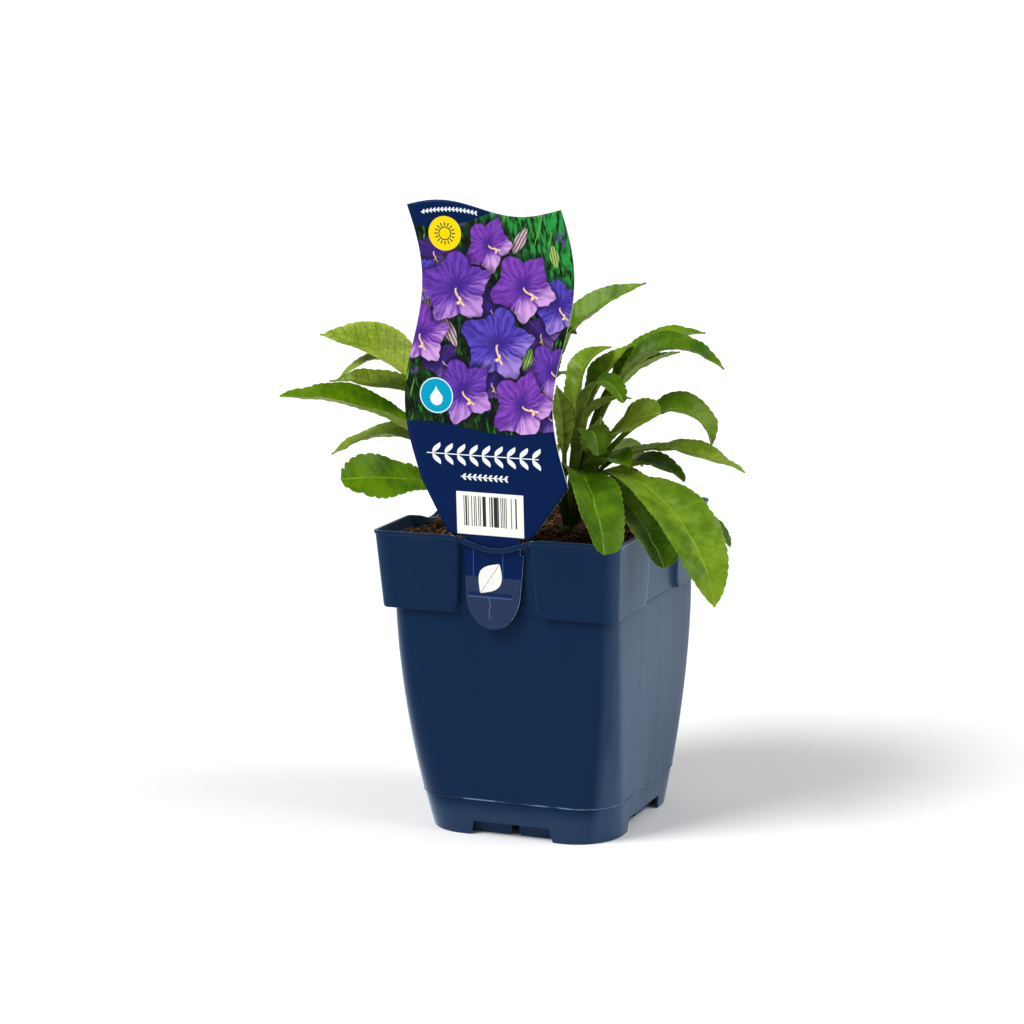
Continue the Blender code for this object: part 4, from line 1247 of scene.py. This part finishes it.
class Blade:
    """A leaf's blade: its curve, its length and a seed for its small irregularities."""

    def __init__(self, leaf, crown, seed):
        self.leaf = leaf
        self.path = leaf_path(leaf, crown)
        self.seed = seed
        steps = [leaf.stalk + (1.0 - leaf.stalk) * k / LENGTH_STEPS for k in range(LENGTH_STEPS + 1)]
        points = [bezier(self.path, t) for t in steps]
        self.length = sum((b - a).length for a, b in zip(points, points[1:]))
        self.edges = {side: self.edge_lengths(side) for side in (-1.0, 1.0)}

    def edge_lengths(self, side):
        """How far round the blade's edge each of its steps along the midrib is."""
        points = [Vector((self.length * k / EDGE_STEPS, self.outline(k / EDGE_STEPS, side)))
                  for k in range(EDGE_STEPS + 1)]
        lengths = [0.0]
        for a, b in zip(points, points[1:]):
            lengths.append(lengths[-1] + (b - a).length)
        return lengths

    def outline(self, along, side):
        """Half the blade's width on one side, without its teeth."""
        leaf = self.leaf
        beak = BEAK * max(0.0, leaf.point - BEAK_FROM) / (1.0 - BEAK_FROM)
        place = min(1.0, along / (1.0 - beak))
        widest = BLUNT_WIDEST + (POINTED_WIDEST - BLUNT_WIDEST) * leaf.point
        outline = max(0.0, math.sin(math.pi * place ** widest)) ** leaf.point
        if side < 0:
            outline *= 1.0 - leaf.pinch * math.exp(-((along - PINCH_PLACE) / PINCH_LENGTH) ** 2)
        return leaf.width / 2 * outline

    def tooth(self, along, side):
        """0 in the notch between two teeth and 1 at a tooth's tip, and the notch's depth."""
        step = along * EDGE_STEPS
        low = min(EDGE_STEPS - 1, int(step))
        lengths = self.edges[side]
        round_edge = lengths[low] + (lengths[low + 1] - lengths[low]) * (step - low)
        count = round(lengths[-1] / TOOTH_PITCH / math.sqrt(self.leaf.lobes))
        shift = noise.noise(Vector((90.0 * round_edge, self.seed, side)))
        step = (count * round_edge / lengths[-1] + 0.7 * shift + 0.25 * side) % 1.0
        depth = TOOTH_DEPTH * self.leaf.lobes * (1.0 + 0.8 * shift)
        return math.sin(math.pi * step ** TOOTH_LEAN), depth

    def half_width(self, along, side):
        if along <= 0.0:
            return STALK_HALF
        outline = self.outline(along, side)
        ahead = self.outline(min(1.0, along + EDGE_SLOPE), side)
        behind = self.outline(max(0.0, along - EDGE_SLOPE), side)
        steep = math.hypot(1.0, (ahead - behind) / (2 * EDGE_SLOPE * self.length))
        crest, depth = self.tooth(along, side)
        cut = depth * (1.0 - crest) ** 2 * min(1.0, outline / FULL_TOOTH_HALF) * min(2.5, steep)
        end = STALK_HALF + (TIP_HALF - STALK_HALF) * min(1.0, along)
        return end + max(0.0, outline - cut)

    def vein(self, along, distance):
        """A count that is whole on each side vein; the veins lean towards the tip."""
        wander = 0.25 * noise.noise(Vector((3.0 * along, 90.0 * distance, self.seed)))
        return (along * self.length - VEIN_LEAN * distance) / VEIN_PITCH + wander

    def section(self, t):
        """One closed ring of the leaf: its top from left to right, then its underside.

        Each point comes with its signed distance from the midrib, its tooth and its vein.
        """
        leaf = self.leaf
        step = 0.01
        here = bezier(self.path, t)
        ahead, behind = bezier(self.path, min(1.0, t + step)), bezier(self.path, max(0.0, t - step))
        tangent = (ahead - behind).normalized()
        heading = self.path[3] - self.path[0]
        right = Vector((heading.y, -heading.x, 0.0)).normalized()
        right = Matrix.Rotation(math.radians(-leaf.roll) * t, 3, tangent) @ right
        up = right.cross(tangent)
        fold = math.radians(leaf.fold)
        along = (t - leaf.stalk) / (1.0 - leaf.stalk)
        past_stalk = max(0.0, along)
        blade = min(1.0, past_stalk * 6.0) * min(1.0, (1.0 - past_stalk) * 8.0)
        top, under = [], []
        for k in range(LEAF_COLUMNS + 1):
            across = 2.0 * k / LEAF_COLUMNS - 1.0
            side = -1.0 if across < 0 else 1.0
            outward = abs(across)
            half = self.half_width(along, side)
            distance = outward * half
            vein = self.vein(past_stalk, distance)
            spread = side * distance * math.cos(fold)
            bend = math.sqrt(outward * outward + FOLD_SOFTNESS ** 2) - FOLD_SOFTNESS
            rise = bend * half * math.sin(fold)
            quilt = abs(math.sin(math.pi * vein)) ** 0.6
            rise += blade * QUILT_DEPTH * quilt * (1.0 - outward ** 4)
            rise += blade * EDGE_RIPPLE * outward ** 3 * math.sin(11.0 * along + 2.1 * self.seed + side)
            spot = here + right * spread
            rise += blade * BLADE_WAVE * outward * noise.noise(spot * BLADE_WAVE_SCALE)
            rise += blade * PUCKER_DEPTH * noise.noise(spot * PUCKER_SCALE + Vector((self.seed, 0.0, 0.0)))
            rib = math.exp(-(distance / MIDRIB_HALF) ** 2)
            rise -= blade * MIDRIB_GROOVE * rib * (1.0 - past_stalk)
            depth = EDGE_THICKNESS + MIDRIB_THICKNESS * (1.0 - 0.75 * past_stalk) * rib
            crest = self.tooth(along, side)[0] if along > 0.0 else 0.0
            place = spot + up * rise
            facts = {"outward": outward, "distance": distance / MM, "vein": vein, "tooth": crest,
                     "reach": along * self.length / MM}
            top.append((place, {**facts, "under": 0.0}))
            under.append((place - up * depth, {**facts, "under": 1.0}))
        return top + under[::-1]


def add_leaf(bm, layers, leaf, crown, seed):
    """One leaf as a closed skin, with what its material needs to know on its points."""
    blade = Blade(leaf, crown, seed)
    stalk = [leaf.stalk * k / STALK_ROWS for k in range(STALK_ROWS)]
    rows = [leaf.stalk + (1.0 - leaf.stalk) * k / BLADE_ROWS for k in range(BLADE_ROWS + 1)]
    sections = [blade.section(t) for t in stalk + rows]
    foot = Vector((crown[0], crown[1], CROWN_FOOT)) - blade.path[0]
    foot = Vector((foot.x * 0.5, foot.y * 0.5, foot.z))
    sections.insert(0, [(place + foot, facts) for place, facts in sections[0]])
    for loop, section in zip(loft(bm, [[place for place, _ in section] for section in sections]), sections):
        for vert, (_, facts) in zip(loop, section):
            for key, value in facts.items():
                vert[layers[key]] = value
            vert[layers["tone"]] = leaf.tone
            vert[layers["seed"]] = seed


def leaf_paint():
    """Leaf green: thin pale midrib, side veins in a net, gold tooth tips and a pale underside."""
    paint = Paint("leaf_green")
    outward, distance, reach, tone, under = (
        paint.attribute(name) for name in ("outward", "distance", "reach", "tone", "under"))
    place = paint.place()
    blotch = paint.noise(260.0, 4.0, 0.6, place)
    pale, dark, lined = tone.ramp(0.0, 1.0), tone.ramp(0.0, -1.0), tone.ramp(0.5, 1.0)
    blade = outward.ramp(1.0, 0.8) * reach.ramp(1.0, 6.0)
    vein_line = abs((paint.attribute("vein") * math.pi).sine()).ramp(0.16, 0.03) * blade
    net = paint.take("TexVoronoi", {"Vector": place, "Scale": 420.0}, feature="DISTANCE_TO_EDGE")
    net_line = net.ramp(0.09, 0.01) * blade
    rib = distance.ramp(0.42, 0.18) * outward.ramp(0.5, 0.2)
    share = (paint.noise(70.0, 3.0, vector=place) * 0.7 + blotch * 0.3).ramp(0.36, 0.62)
    fresh = paint.mix(share, rgb(50, 90, 0), rgb(94, 131, 0))
    deep = paint.mix(share, rgb(30, 58, 4), rgb(60, 90, 18))
    olive = paint.mix(share, rgb(112, 138, 30), rgb(152, 170, 62))
    paint.start(dark, paint.mix(pale, fresh, olive), deep)
    own = paint.math("FRACT", paint.attribute("seed") * 0.37)
    paint.lay(own.ramp(0.3, 1.0, 0.0, 0.3), rgb(50, 88, 2))
    veins = paint.mix(lined, rgb(118, 150, 34), rgb(70, 94, 14))
    strength = 0.18 + lined * 0.55
    paint.lay(vein_line * strength, veins)
    paint.lay(net_line * strength * 0.5, veins)
    paint.lay(outward.ramp(0.94, 1.0, 0.0, 0.25), rgb(124, 150, 30))
    gland = outward.ramp(0.965, 0.99) * paint.attribute("tooth").ramp(0.90, 0.98)
    paint.lay(gland * 0.75, rgb(200, 190, 50))
    glow = paint.noise(120.0, 2.0, vector=place).ramp(0.35, 0.65, 0.25, 0.60)
    paint.lay(rib * glow, rgb(148, 178, 52))
    stem = paint.mix(reach.ramp(-10.0, -32.0), rgb(112, 140, 22), rgb(70, 70, 26))
    paint.lay(reach.ramp(2.5, -2.0) * 0.85, stem)
    below = paint.mix(share, rgb(98, 126, 32), rgb(130, 152, 58))
    below = paint.mix(dark * 0.6, below, rgb(60, 84, 20))
    below = paint.mix(vein_line * 0.4, below, rgb(156, 178, 84))
    below = paint.mix(rib * 0.7, below, rgb(164, 184, 92))
    paint.lay(under * reach.ramp(-4.0, 4.0), below)
    # Painted shade: the stalks, leaf bases and crown darken towards the heart of the rosette.
    paint.lay(reach.ramp(14.0, -14.0, 0.0, 0.75), rgb(22, 38, 2))
    grain = paint.noise(1500.0, 3.0, vector=place)
    paint.bump(vein_line * -0.8 + net_line * -0.4 + blotch * 2.6 + grain * 0.12, 0.7, 0.0003)
    rough = 0.30 + under * 0.3 + blotch * 0.18
    wax = {"Specular Tint": LEAF_GLOSS, "Coat Weight": 0.13, "Coat Roughness": 0.24}
    return paint.finish(rough, 0.08, wax)


def crown_ring(crown, radius, height):
    turns = [math.tau * n / CROWN_SIDES for n in range(CROWN_SIDES)]
    return [(crown[0] + radius * math.cos(turn), crown[1] + radius * math.sin(turn), height)
            for turn in turns]


def build_rosette(name, crown, leaves, material):
    """One low crown in the soil with all its leaves, as one piece."""
    bm = bmesh.new()
    keys = ("outward", "distance", "vein", "tooth", "reach", "under", "tone", "seed")
    layers = {key: bm.verts.layers.float.new(key) for key in keys}
    radius = CROWN_RADIUS * CROWN_FILL
    rings = [crown_ring(crown, radius, CROWN_FOOT)]
    for k in range(CROWN_RINGS):
        angle = CROWN_ROUND * k / (CROWN_RINGS - 1)
        height = CROWN_SHOULDER + (CROWN_TOP - CROWN_SHOULDER) * math.sin(angle)
        rings.append(crown_ring(crown, radius * math.cos(angle), height))
    for loop in loft(bm, rings):
        for vert in loop:
            vert[layers["reach"]] = CROWN_REACH
            vert[layers["tone"]] = -1.0
    for seed, leaf in enumerate(leaves):
        add_leaf(bm, layers, leaf, crown, float(seed))
    piece = mesh_object(name.replace("rosette", "leaves"), bm, material, smooth=75)
    stands_for(piece, "leaf_green", name)


# The studio
def soft_light(name, source, strength, spread):
    """A far light as wide as spread, in degrees, that shines from a direction."""
    light = bpy.data.lights.new(name, "SUN")
    light.energy = strength
    light.angle = math.radians(spread)
    new_object(name, light).rotation_euler = Vector(source).to_track_quat("Z", "Y").to_euler()


def build_studio():
    """A pale floor that runs to the horizon, an even sky and two soft lights."""
    bm = bmesh.new()
    bmesh.ops.create_grid(bm, x_segments=8, y_segments=8, size=FLOOR_SIZE)
    paint = Paint("floor_pale")
    paint.start(paint.noise(3.0, 2.0), rgb(240, 240, 240), rgb(246, 246, 246))
    floor = mesh_object("floor", bm, paint.finish(0.9))
    floor.location.z = -FLOOR_DROP
    world = bpy.data.worlds.new("studio")
    bpy.context.scene.world = world
    world.use_nodes = True
    background = world.node_tree.nodes["Background"]
    background.inputs["Color"].default_value = (1.0, 1.0, 1.0, 1.0)
    background.inputs["Strength"].default_value = SKY_STRENGTH
    soft_light("key light", *KEY_LIGHT)
    soft_light("side light", *SIDE_LIGHT)
    bpy.context.scene.view_settings.view_transform = "Standard"


def build_camera():
    flat = math.cos(CAMERA_ELEVATION)
    back = Vector((math.sin(CAMERA_AZIMUTH) * flat, -math.cos(CAMERA_AZIMUTH) * flat,
                   math.sin(CAMERA_ELEVATION)))
    camera = new_object("camera", bpy.data.cameras.new("camera"))
    camera.data.lens = CAMERA_LENS
    camera.data.sensor_width = 36.0
    camera.location = CAMERA_TARGET + back * CAMERA_DISTANCE
    turn = (-back).to_track_quat("-Z", "Y").to_matrix() @ Matrix.Rotation(CAMERA_ROLL, 3, "Z")
    camera.rotation_euler = turn.to_euler()
    bpy.context.scene.camera = camera


build_camera()
build_studio()
build_pot()
build_soil()
build_label()
LEAF_GREEN = leaf_paint()
for rosette_name, (crown_place, leaf_list) in ROSETTES.items():
    build_rosette(rosette_name, crown_place, leaf_list, LEAF_GREEN)
